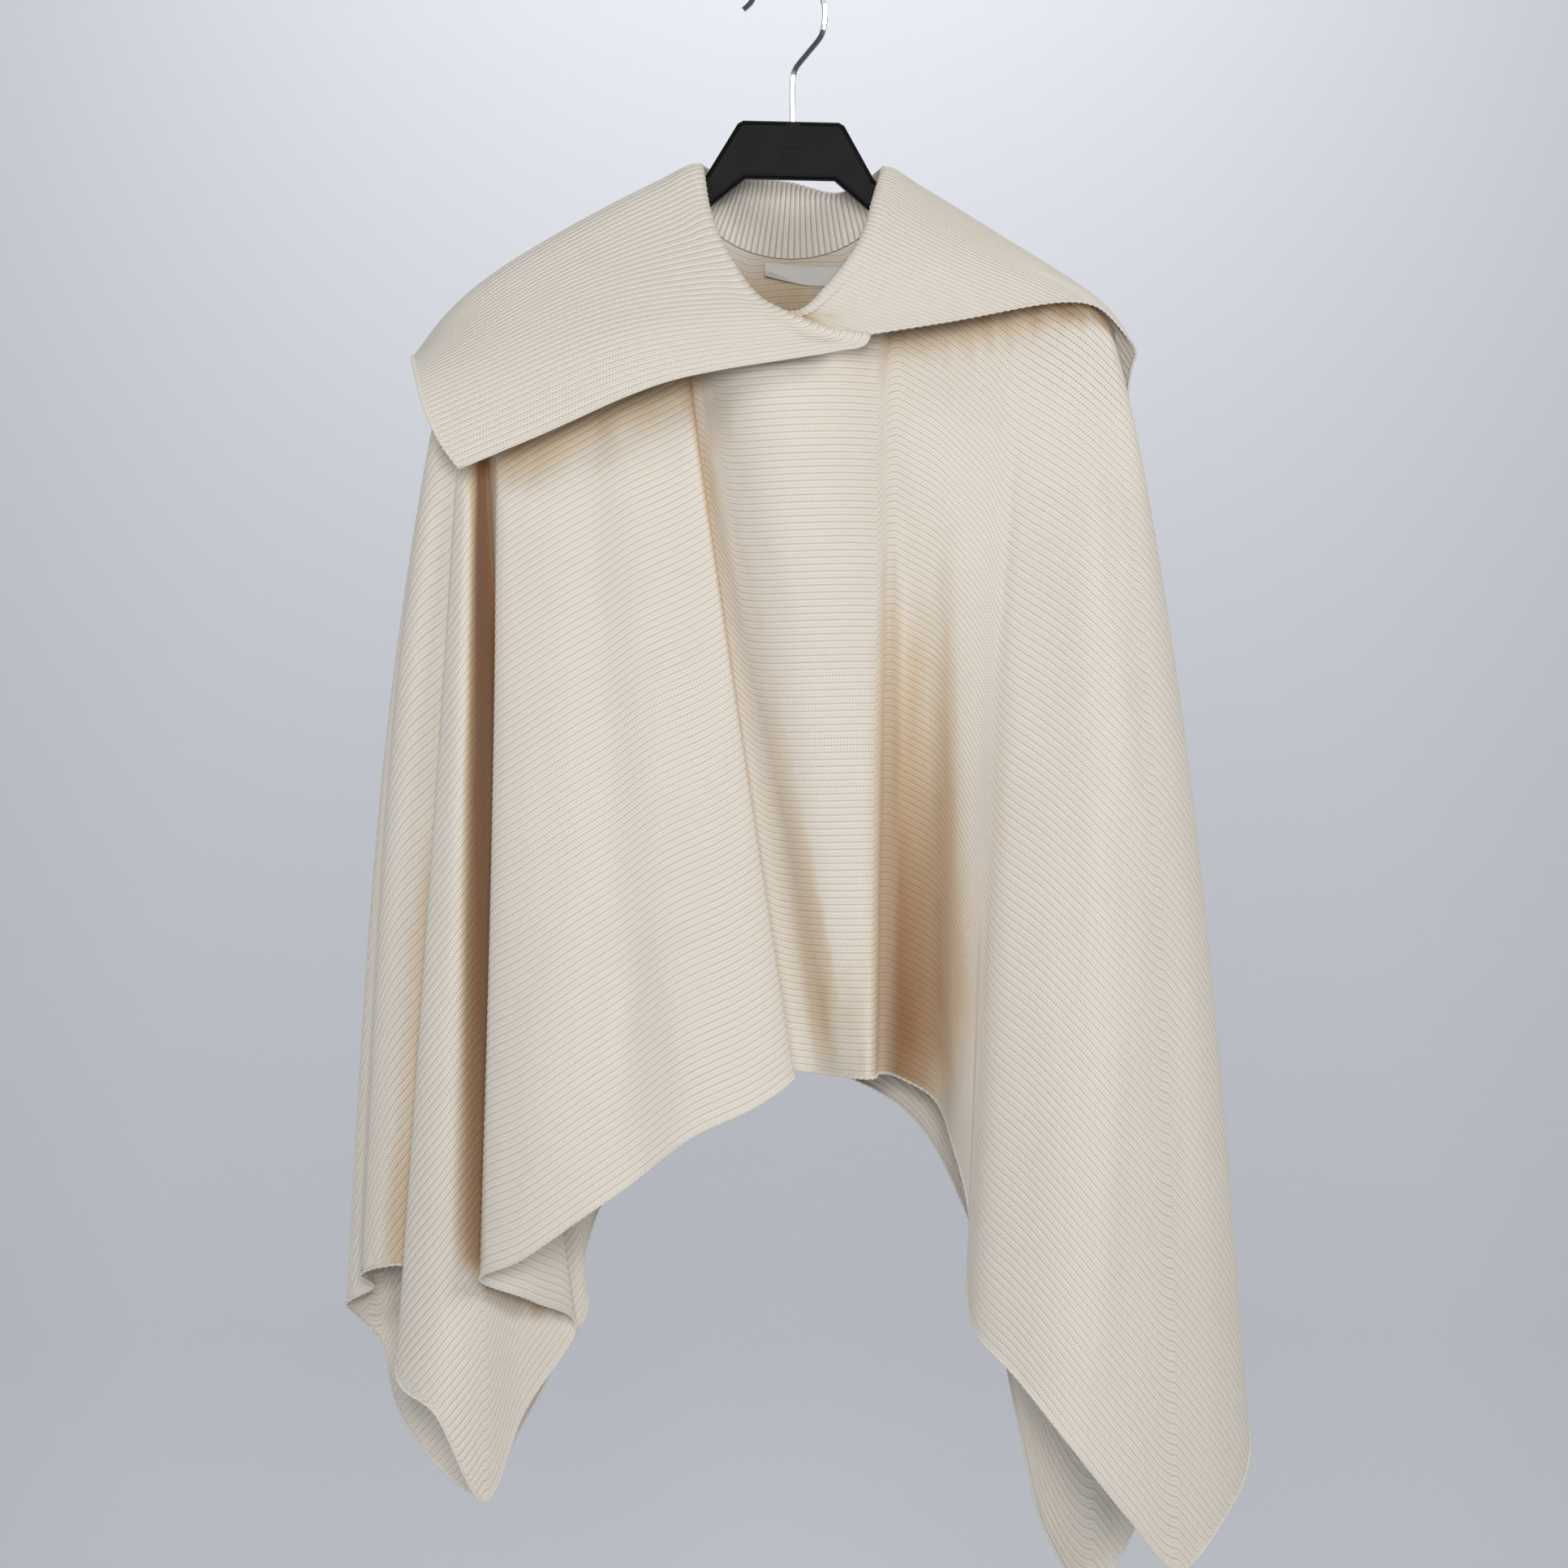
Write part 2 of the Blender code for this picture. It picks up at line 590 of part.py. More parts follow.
def push_out(point, layers, gap):
    """Move a point out of the cloth below it, until it is a gap above each layer.

    A layer is a list of surfaces, and the nearest one counts. A point whose nearest place is on a
    border lies beside the surface, and stays.
    """
    for layer in layers:
        found = [tree.find_nearest(point) for tree in layer]
        place, normal, _, distance = min(found, key=lambda hit: hit[3])
        height = (point - place).dot(normal)
        beside = abs(height) < BORDER_SHARE * distance
        if height < gap and not beside and distance < PUSH_REACH:
            point = point + normal * (gap - height)
    return point


def settle(grid, columns, rows, layers, gap):
    """Lay part of a grid on the cloth below it, and spread the moves that this takes."""
    moves = {(i, j): Vector() for i in columns for j in rows}
    for _ in range(SETTLE_PASSES):
        pushed = {}
        for (i, j), move in moves.items():
            pushed[i, j] = push_out(grid[i][j] + move, layers, gap) - grid[i][j]
        for (i, j), move in pushed.items():
            near = [pushed[k] for k in ((i - 1, j), (i + 1, j), (i, j - 1), (i, j + 1)) if k in pushed]
            moves[i, j] = move.lerp(sum(near, Vector()) / len(near), SETTLE_SPREAD)
    for (i, j), move in moves.items():
        grid[i][j] = push_out(grid[i][j] + move, layers, gap)


def collar_section_points(angle_deg, lift, fold, middle, edge, bulge, along):
    """Points across the band: up the stand, over the fold and down the fall to the free edge.

    along is the direction of the folded edge, and the fold bends round it.
    """
    angle = math.radians(angle_deg)
    outward = Vector((math.sin(angle), -math.cos(angle), 0.0))
    seam = neck_point(angle_deg) + outward * lift
    rise = (fold - seam).normalized()
    fall = (middle - fold).normalized()
    up_stand = (rise - along * rise.dot(along)).normalized()
    down_fall = (fall - along * fall.dot(along)).normalized()
    crest = (up_stand - down_fall).normalized()
    over = crest.cross(along)
    centre = fold - crest * FOLD_RADIUS
    stand_top = centre - over * FOLD_RADIUS
    fall_top = centre + over * FOLD_RADIUS
    seam_run = (neck_point(angle_deg + 1.0) - neck_point(angle_deg - 1.0)).normalized()
    off_body = (Vector((0.0, 0.0, 1.0)) - seam_run * seam_run.z).normalized()
    bend = math.acos(max(0.0, min(rise.dot(off_body), 1.0)))
    seam += off_body * (SEAM_GAP + SEAM_EASE + WALL / 2 * math.sin(bend))
    drop = (edge - middle).normalized()
    over_tip = (Vector((0.0, 0.0, 1.0)) - drop * drop.z).normalized()
    knuckle = middle.lerp(edge, KNUCKLE_SHARE) + over_tip * bulge
    controls = (seam, stand_top, fold, fall_top, middle, knuckle, edge)
    controls = [tuple(point) for point in controls]
    knots = chord_knots(controls)
    points = []
    for span, pieces in enumerate(COLLAR_ACROSS):
        for piece in range(pieces):
            at = knots[span] + (knots[span + 1] - knots[span]) * piece / pieces
            points.append(Vector(interpolate(knots, controls, at)))
    points.append(edge)
    return points


def collar_grid(body_trees):
    """Points of the collar band's middle surface, resting just clear of the cloth below it."""
    rows = [(row.angle, row.lift, *row.fold, *row.middle, *row.edge, row.bulge) for row in COLLAR]
    across = sum(COLLAR_ACROSS) + 1
    fall_row = COLLAR_ACROSS[0] + COLLAR_ACROSS[1] + COLLAR_ACROSS[2]
    marks = [(Vector(row.fold) + Vector(row.edge)) / 2 for row in COLLAR]
    knots = chord_knots(marks)
    places = []
    for index in range(len(rows) - 1):
        span = (marks[index + 1] - marks[index]).length
        shoulders = ("shoulder" in COLLAR[index].name) + ("shoulder" in COLLAR[index + 1].name)
        pieces = max(2, round(span / COLLAR_COLUMN_STEPS[shoulders]))
        for piece in range(pieces):
            places.append(knots[index] + (knots[index + 1] - knots[index]) * piece / pieces)
    places.append(knots[-1])
    grid = []
    for place in places:
        angle, lift, *values, bulge = interpolate(knots, rows, place)
        fold, middle, edge = (Vector(values[k:k + 3]) for k in (0, 3, 6))
        before = interpolate(knots, rows, max(place - NORMAL_STEP, 0.0))
        after = interpolate(knots, rows, min(place + NORMAL_STEP, knots[-1]))
        along = (Vector(after[2:5]) - Vector(before[2:5])).normalized()
        grid.append(
            collar_section_points(angle, max(lift, 0.0), fold, middle, edge, bulge, along)
        )
    for column in grid:
        for j in range(fall_row, across):
            column[j] = clear_of_arm(column[j])
    layer = WALL + LAYER_GAP
    settle(grid, range(len(grid)), range(fall_row + 1, across), [body_trees], layer)
    left_end = [i for i, place in enumerate(places) if place <= knots[LEFT_END_SECTIONS]]
    right_end = [i for i, place in enumerate(places) if place >= knots[-RIGHT_END_SECTIONS]]
    right_tree = tree_of([grid[i][fall_row - 2:] for i in reversed(right_end)])
    settle(grid, left_end, range(fall_row + 1, across), [body_trees, [right_tree]], layer)
    return grid


def clear_of_arm(point):
    """Move a point of the collar out of the way of the cloth over a hanger arm and its tip."""
    side = math.copysign(1.0, point.x - HANGER_X)
    steps = 24
    centres = []
    for step in range(steps + 1):
        station = 1.0 + (ARM_TIP_STATION - 1.0) * step / steps
        centres.append(arm_point(side * station) - Vector((0.0, 0.0, ROLL_RADIUS)))
    centres.append(centres[-1] - Vector((0.0, 0.0, ARM_CLEAR_LENGTH)))
    nearest = None
    for start, end in zip(centres, centres[1:]):
        share = (point - start).dot(end - start) / (end - start).length_squared
        place = start.lerp(end, max(0.0, min(share, 1.0)))
        if nearest is None or (point - place).length < (point - nearest).length:
            nearest = place
    offset = point - nearest
    if offset.length >= ARM_CLEARANCE:
        return point
    return nearest + offset * (ARM_CLEARANCE / offset.length)


def hanger_outline():
    """Points round the hanger body, seen from the front, tilted as it hangs."""
    arm_top = [(row.reach, row.height) for row in ARM_TOP]
    right = [*BRIDGE_END, *arm_top, *ARM_UNDERSIDE]
    left = [(-x, z) for x, z in reversed(right)]
    return [tilt(HANGER_X + x, z) for x, z in right + left]


def build_hanger_body(collection, cutters, material):
    """The moulded hanger: a bevelled plate with a raised socket and a bore for the hook."""
    outline = hanger_outline()
    curve = bpy.data.curves.new("hanger_outline", "CURVE")
    curve.dimensions = "2D"
    curve.fill_mode = "BOTH"
    curve.extrude = HANGER_THICK / 2 * MM
    spline = curve.splines.new("POLY")
    spline.points.add(len(outline) - 1)
    for point, (x, z) in zip(spline.points, outline):
        point.co = (x * MM, z * MM, 0.0, 1.0)
    spline.use_cyclic_u = True
    guide = bpy.data.objects.new("hanger_outline", curve)
    collection.objects.link(guide)
    guide.rotation_euler = (math.pi / 2, 0.0, 0.0)
    bpy.context.view_layer.update()
    evaluated = guide.evaluated_get(bpy.context.evaluated_depsgraph_get())
    data = bpy.data.meshes.new_from_object(evaluated)
    data.transform(guide.matrix_world)
    bpy.data.objects.remove(guide, do_unlink=True)
    welded = bmesh.new()
    welded.from_mesh(data)
    bmesh.ops.remove_doubles(welded, verts=welded.verts, dist=0.00001)
    bmesh.ops.dissolve_limit(
        welded, angle_limit=0.01, verts=welded.verts, edges=welded.edges, delimit={"NORMAL"}
    )
    bmesh.ops.recalc_face_normals(welded, faces=welded.faces)
    welded.to_mesh(data)
    welded.free()
    body = add_object("hanger_body", data, collection, material)
    bevel = body.modifiers.new("rounded_edges", "BEVEL")
    bevel.width = HANGER_BEVEL * MM
    bevel.segments = 3
    bevel.limit_method = "ANGLE"
    bevel.angle_limit = math.radians(50)

    socket_x, socket_z = tilt(HOOK_X, BRIDGE_TOP - SOCKET_DROP)
    bpy.ops.mesh.primitive_cube_add(size=1.0)
    boss = bpy.context.active_object
    boss.name = "socket_boss"
    boss.dimensions = (SOCKET_WIDTH * MM, (HANGER_THICK + 2 * SOCKET_RAISE) * MM, SOCKET_HEIGHT * MM)
    boss.location = (socket_x * MM, 0.0, socket_z * MM)
    boss.rotation_euler = (0.0, math.radians(HANGER_TILT_DEG), 0.0)
    boss.hide_render = True
    boss.display_type = "WIRE"
    move_to(boss, cutters)
    join = body.modifiers.new("socket_boss", "BOOLEAN")
    join.operation = "UNION"
    join.object = boss

    bpy.ops.mesh.primitive_cylinder_add(
        vertices=16,
        radius=(HOOK_WIRE / 2 + HOOK_CLEARANCE) * MM,
        depth=2 * (HOOK_SOCKET_DEPTH + HOOK_CLEARANCE) * MM,
    )
    bore = bpy.context.active_object
    bore.name = "hook_bore"
    bore.location = (HOOK_X * MM, 0.0, BRIDGE_TOP * MM)
    bore.hide_render = True
    bore.display_type = "WIRE"
    move_to(bore, cutters)
    cut = body.modifiers.new("hook_bore", "BOOLEAN")
    cut.operation = "DIFFERENCE"
    cut.object = bore
    return body


def move_to(thing, collection):
    """Put an object in one collection alone."""
    for old in list(thing.users_collection):
        old.objects.unlink(thing)
    collection.objects.link(thing)


def hook_route():
    """The hook's centre line: stem, bend, slant, round bow and flared tip."""
    bow_centre = HOOK_WIRE / 2 - HOOK_BOW_RADIUS
    route = list(HOOK_STEM)
    for degrees in HOOK_BOW_DEGREES:
        angle = math.radians(degrees)
        across = HOOK_BOW_RADIUS * math.cos(angle)
        route.append(Corner(across, bow_centre + HOOK_BOW_RADIUS * math.sin(angle)))
    route += HOOK_TIP
    return [Vector((x, 0.0, z)) for x, z in route]


def build_hook(collection, material):
    """The wire hook, as a bevelled curve with filled ends."""
    route = hook_route()
    knots = chord_knots(route)
    rows = [tuple(point) for point in route]
    curve = bpy.data.curves.new("hanger_hook", "CURVE")
    curve.dimensions = "3D"
    curve.bevel_depth = HOOK_WIRE / 2 * MM
    curve.bevel_resolution = 2
    curve.use_fill_caps = True
    spline = curve.splines.new("POLY")
    spline.points.add(HOOK_STEPS)
    for step in range(HOOK_STEPS + 1):
        x, y, z = interpolate(knots, rows, knots[-1] * step / HOOK_STEPS)
        spline.points[step].co = (x * MM, y * MM, z * MM, 1.0)
    curve.materials.append(material)
    hook = bpy.data.objects.new("hanger_hook", curve)
    collection.objects.link(hook)
    return hook


def build_label(collection, material, back_tree):
    """The bare woven label inside the back neck, its left end hanging a little loose."""
    top = neck_point(180.0).z - LABEL_DROP
    off_back = WALL / 2 + LABEL_THICK / 2 + LABEL_STAND_OFF
    grid = []
    for i in range(LABEL_COLUMNS + 1):
        across = i / LABEL_COLUMNS
        loose = max(0.0, LABEL_LOOSE_SHARE - across)
        line = []
        for j in range(LABEL_ROWS + 1):
            down = j / LABEL_ROWS
            x = LABEL_LEFT + LABEL_WIDTH * across
            z = top - LABEL_HEIGHT * down - LABEL_SLOPE * LABEL_WIDTH * across
            place = back_tree.ray_cast(Vector((x, 0.0, z)), Vector((0.0, 1.0, 0.0)))[0]
            y = place.y - off_back - LABEL_LOOSE_CURL * loose * loose * down
            line.append(Vector((x, y, z)))
        grid.append(line)
    halves = [[normal * (-LABEL_THICK / 2) for normal in line] for line in grid_normals(grid)]
    data = wall_mesh("neck_label", grid, halves)
    return add_object("neck_label", data, collection, material)


def build():
    """Make every piece of the garment and its hanger."""
    remove_old_objects()
    parts = new_collection("poncho_sweater")
    cutters = new_collection("poncho_sweater_cutters")
    knit = new_material("cream_knit", (0.80, 0.74, 0.64), 0.95)
    black = new_material("black_plastic", (0.012, 0.012, 0.013), 0.45)
    chrome = new_material("chromed_wire", (0.70, 0.70, 0.72), 0.18, 1.0)
    tape = new_material("woven_tape", (0.82, 0.80, 0.75), 0.85)

    front_count = len(FRONT_FOLDS)
    panels = (
        ("front_panel", 0, front_count, FRONT_COLUMN_STEP, -1.0),
        ("back_panel", front_count - 1, len(BACK_FOLDS) + 2, BACK_COLUMN_STEP, 1.0),
    )
    trees = []
    for name, first_fold, fold_count, column_step, side in panels:
        grid, halves = panel_grid(first_fold, fold_count, column_step, FALL_ROWS)
        for column in grid:
            for point in column:
                point.y += side * PANEL_SHIFT
        add_object(name, wall_mesh(name, grid, halves), parts, knit)
        trees.append(tree_of(grid))
    collar = collar_grid(trees)
    halves = [[normal * (WALL / 2) for normal in line] for line in grid_normals(collar)]
    add_object("collar", wall_mesh("collar", collar, halves), parts, knit)
    build_label(parts, tape, trees[1])
    build_hanger_body(parts, cutters, black)
    build_hook(parts, chrome)
    for thing in parts.objects:
        if thing.type == "MESH":
            thing.data.shade_smooth()
            thing.data.set_sharp_from_angle(angle=math.radians(40))


build()
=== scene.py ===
"""Looks of the poncho sweater on its hanger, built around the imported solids.

The cloth's sizes are in millimetres until a mesh is made; the camera, the lamps and the stage are in
metres. The cloth follows the fold lines and collar sections of the solids. Each piece of it is a fine
sheet whose rows or columns follow the knitted ribs, so that the rib relief is real geometry. The
stitches are in the material.
"""

import math
from collections import namedtuple

import bmesh
import bpy
import numpy as np
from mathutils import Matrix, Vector
from mathutils.bvhtree import BVHTree


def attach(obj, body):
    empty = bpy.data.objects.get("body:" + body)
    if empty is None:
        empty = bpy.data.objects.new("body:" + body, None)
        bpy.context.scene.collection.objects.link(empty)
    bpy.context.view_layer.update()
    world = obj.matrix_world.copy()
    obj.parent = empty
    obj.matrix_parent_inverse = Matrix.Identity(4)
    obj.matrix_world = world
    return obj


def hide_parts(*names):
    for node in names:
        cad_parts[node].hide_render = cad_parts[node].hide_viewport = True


MM = 0.001
UP = Vector((0.0, 0.0, 1.0))
MERGE_DISTANCE = 0.02

# Cloth
WALL = 2.2
LAYER_GAP = 1.0

# Hanger
HANGER_X = 4.0
HANGER_TILT_DEG = 1.3
BRIDGE_TOP = -92.0

# Neckline: a ring that rides up over the hanger's arms at each side
NECK_HALF_WIDTH = 63.0
NECK_CORNER = 6.9
NECK_DEPTH = 50.0
NECK_SIDE_HEIGHT = -129.3
NECK_CORNER_FALL = 4.1
NECK_FRONT_DROP = 93.0
NECK_BACK_DROP = 33.0
NECK_SWELL = 38.0
NECK_SWELL_SPREAD = 0.9
NECK_EASE_LENGTH = 110.0

# Cloth over the hanger's arms
ROLL_RADIUS = 7.8
ROLL_LENGTH = ROLL_RADIUS * math.pi / 2
ARM_LIFT = 2.0
ARM_CLEAR_LENGTH = 45.0
ARM_CLEAR_STEPS = 24
ARM_TIP_STATION = 2.0
STATION_STEP = 0.01
LAST_STATION = 2.16
TIP_SPREAD = 5.0
WRAP = 2
FOLD_BEGIN_SHARE = 0.15
LATE_BEGIN_SHARE = 0.40
EARLY_GROWTH = 1.3
LATE_GROWTH = 1.45
BELLY_POWER = 0.75

# Collar on the body
FOLD_RADIUS = 3.0
SEAM_LIFT = 0.4
ARM_CLEARANCE = ROLL_RADIUS + WALL + LAYER_GAP + 1.0
PUSH_REACH = 40.0
BESIDE_SHARE = 0.75
SETTLE_PASSES = 4
SETTLE_SPREAD = 0.35
KNUCKLE_SHARE = 0.6
TREE_ROW_STEP = 6
BAND_TREE_STEP = 4
COLLAR_COLUMN_STEPS = (16.0, 4.5, 3.0)
COLLAR_ACROSS = (2, 2, 2, 4, 3, 3)
FALL_ROW = sum(COLLAR_ACROSS[:3])
MIDDLE_ROW_SHARE = 0.625
LEFT_END_SECTIONS = 4
RIGHT_END_SECTIONS = 6

# Knit
RIB_PITCH = 4.3
PANEL_RIBS = 123
PANEL_DEPTH = RIB_PITCH * PANEL_RIBS
RIB_PROFILE = (-1.0, 0.55, 0.75)
PANEL_RELIEF = 0.28
PANEL_COLUMN_STEP = 6.0
NECK_COLUMN_STEP = 4.0
FULL_RELIEF_GAP = 2.5
NORMAL_STEP = 0.05
NORMAL_LENGTH = 1.2
DOWN_STEP = 0.5
COLLAR_RIB_PITCH = 3.7
COLLAR_BACK_RIB_PITCH = 4.4
COLLAR_RIB_PROFILE = (-1.0, 0.25, 0.9, 0.35)
STAND_RIB_PROFILE = (-1.0, -0.5, 0.4, 0.8, 0.9, 0.8, 0.4, -0.5)
COLLAR_RELIEF = 0.34
COLLAR_STAND_RELIEF = 0.6
COLLAR_ROWS = 56
COLLAR_SMOOTHING = 4
SMOOTH_INNER = 0.5
SMOOTH_EDGE = 0.25
PITCH_SAMPLES = 400
LEAST_RELIEF = 0.3
COLLAR_BACK_SHARE = 0.5
COLLAR_BACK_SPREAD = 0.2
STAND_HEIGHT = 56.0
STAND_FADE = 10.0
STAND_BACK_REACH = 0.20
STAND_BACK_FADE = 0.03
# Share of the painted fold shade taken off the collar's stand, which paints light on it
STAND_SHADE_CUT = 0.8
EDGE_RADIUS = 1.15
EDGE_SIDES = 6
EDGE_STEP = 1.4
EDGE_SAMPLES = 200
EDGE_BEAD = 0.78
EDGE_BUMP = 0.3
EDGE_SIDE_REFERENCE = (0.05, 1.0, 0.08)

# Label
LABEL_WIDTH = 51.0
LABEL_HEIGHT = 13.0
LABEL_THICK = 0.6
LABEL_LEFT = -13.0
LABEL_DROP = 2.0
LABEL_SLOPE = 0.09
LABEL_STAND_OFF = 1.0
LABEL_LOOSE_SHARE = 0.45
LABEL_LOOSE_CURL = 16.0
LABEL_CORNER_SHARE = 0.55
LABEL_CORNER_CURL = 5.0
LABEL_CORNER_LIFT = 0.6
LABEL_COLUMNS = 40
LABEL_ROWS = 10

# Colours
CREAM = (0.86, 0.81, 0.73)
# Painted shade in the grooves between the ribs
GROOVE_SHADE_TINT = (0.62, 0.50, 0.38)
HOLE_TINT = (0.34, 0.25, 0.18)
# Lighter cream painted on the collar's stand, as painted light
STAND_PAINTED_LIGHT = (1.0, 0.97, 0.91)
SEE_THROUGH = (0.36, 0.40, 0.44)
STRETCHED_PLACE = (0.200, -0.012, -0.232)
STRETCHED_REACH = 0.055
PANEL_STITCH = 2.0
COLLAR_STITCH = 1.5

# Shade in the folds
FOLD_TINTS = (
    (0.09, (1.0, 1.0, 1.0)),
    (0.22, (0.88, 0.78, 0.65)),
    (0.38, (0.66, 0.50, 0.35)),
    (0.62, (0.48, 0.27, 0.14)),
)
SHADE_RAYS = 16
SHADE_REACH = 110.0
SHADE_START = 3.0
SHADE_COLUMN_STEP = 2
SHADE_ROW_STEP = 9
CREASE_END = 0.1
MARK_ONSET = 0.7

Station = namedtuple("Station", "station reach height")
Crease = namedtuple("Crease", "name x_top z_top x_low z_low width depth")
Fold = namedtuple("Fold", "name station x y z growth belly", defaults=(0,))
Line = namedtuple("Line", "start outward lean end growth belly station")
Section = namedtuple("Section", "name angle lift fold middle edge bulge", defaults=(0.0,))

# Top edge of a hanger arm, on the right, before the hanger's tilt
ARM_TOP = (
    Station(1.00, 69, -135.5),
    Station(1.20, 98, -150.5),
    Station(1.40, 129, -166.5),
    Station(1.60, 158, -182.0),
    Station(1.80, 182, -197.0),
    Station(1.92, 192, -205.5),
    Station(2.00, 199, -212.5),
)

# Fold lines of the front, from the viewer's left to right, each to its lower end
FRONT_FOLDS = (
    Fold("left_seam", -2.16, -281, 42, -841, 0.9, -16),
    Fold("notch_inner", -2.13, -262, 27, -828, 0.9, -19),
    Fold("notch_outer", -2.10, -268, 10, -818, 0.9, -14),
    Fold("outer_strip", -2.06, -254, -2, -811, 0.8, -10),
    Fold("strip_valley", -2.02, -236, -2, -812, 0.7, -3),
    Fold("strip_left_edge", -1.99, -240, -26, -878, 0.6, 1),
    Fold("strip_middle", -1.96, -216, -40, -895, 0.6),
    Fold("left_corner", -1.92, -186, -30, -952, 0.6, -3),
    Fold("pleat_wall", -1.885, -164, -2, -902, 0.65, -8),
    Fold("pleat_inner", -1.84, -133, 25, -853, 0.8, -14),
    Fold("pleat_return", -1.805, -157, -16, -830, 0.65, -6),
    Fold("panel_left_edge", -1.77, -187, -50, -811, 0.6, 3),
    Fold("panel_left", -1.66, -161, -68, -797, 0.7),
    Fold("panel_middle", -1.52, -121, -74, -769, 0.75),
    Fold("panel_crease", -1.42, -94, -68, -751, 0.8),
    Fold("panel_right", -1.32, -57, -75, -722, 0.85),
    Fold("panel_right_turn", -1.19, -17, -71, -703, 1.0),
    Fold("centre_left_edge", -1.08, 6, -53, -687, 0.95),
    Fold("centre_underlap", -0.95, -8, -20, -685, 1.3, -4),
    Fold("centre_strip", -0.60, 18, -9, -688, 1.3),
    Fold("centre_middle", 0.10, 36, -20, -690, 1.5),
    Fold("centre_right_edge", 0.72, 53, -31, -690, 1.45),
    Fold("valley_left", 0.95, 60, 6, -690, 1.45),
    Fold("valley_deep", 1.05, 75, 45, -697, 1.45),
    Fold("valley_right", 1.14, 96, 44, -710, 1.45),
    Fold("drape_wall_upper", 1.25, 107, 22, -738, 1.5),
    Fold("drape_wall_lower", 1.38, 116, 2, -778, 1.6),
    Fold("drape_underlap", 1.48, 114, -12, -829, 1.6),
    Fold("drape_left_edge", 1.56, 119, -37, -848, 1.25),
    Fold("drape_left", 1.68, 141, -55, -870, 0.95, 2),
    Fold("drape_ridge", 1.84, 173, -69, -909, 0.7, 5),
    Fold("drape_right", 1.94, 211, -60, -957, 0.7, 10),
    Fold("right_corner", 2.00, 242, -44, -991, 0.7, 13),
    Fold("right_side_edge", 2.04, 274, -20, -964, 0.7, 14),
    Fold("right_outline", 2.08, 293, 8, -933, 0.8, 14),
    Fold("right_side_turn", 2.12, 291, 32, -888, 0.8, 13),
    Fold("right_seam", 2.16, 289, 50, -860, 0.9, 12),
)

# Fold lines of the back, going on round from the right seam to the left seam
BACK_FOLDS = (
    Fold("back_right_turn", 2.12, 281, 70, -890, 0.9, 10),
    Fold("back_right_side", 2.06, 250, 85, -951, 0.9, 8),
    Fold("back_right_corner", 1.97, 200, 73, -1033, 0.9, 5),
    Fold("back_right_hem", 1.88, 170, 62, -994, 0.9, 3),
    Fold("back_right_fold", 1.78, 150, 59, -915, 0.9),
    Fold("back_right_rise", 1.64, 137, 79, -849, 1.0),
    Fold("back_drape", 1.45, 119, 97, -788, 1.0),
    Fold("back_drape_inner", 1.22, 86, 88, -728, 1.1),
    Fold("back_valley_right", 0.85, 45, 73, -700, 1.2),
    Fold("back_centre", 0.0, -3, 90, -691, 1.2),
    Fold("back_ridge_left", -0.85, -47, 99, -708, 1.2),
    Fold("back_valley_left", -1.22, -88, 80, -738, 1.1),
    Fold("back_left", -1.45, -119, 76, -780, 1.0),
    Fold("back_left_rise", -1.62, -131, 68, -821, 0.9),
    Fold("back_left_fold", -1.74, -128, 54, -849, 0.8),
    Fold("back_left_hem", -1.84, -144, 46, -874, 0.8),
    Fold("back_left_hem_low", -1.92, -168, 42, -918, 0.8),
    Fold("back_left_corner", -1.98, -196, 42, -962, 0.8),
    Fold("back_left_side", -2.03, -223, 52, -948, 0.8, -3),
    Fold("back_left_side_up", -2.07, -250, 62, -912, 0.8, -6),
    Fold("back_left_inner", -2.09, -262, 65, -870, 0.9, -13),
    Fold("back_left_turn", -2.13, -276, 58, -852, 0.9, -15),
)

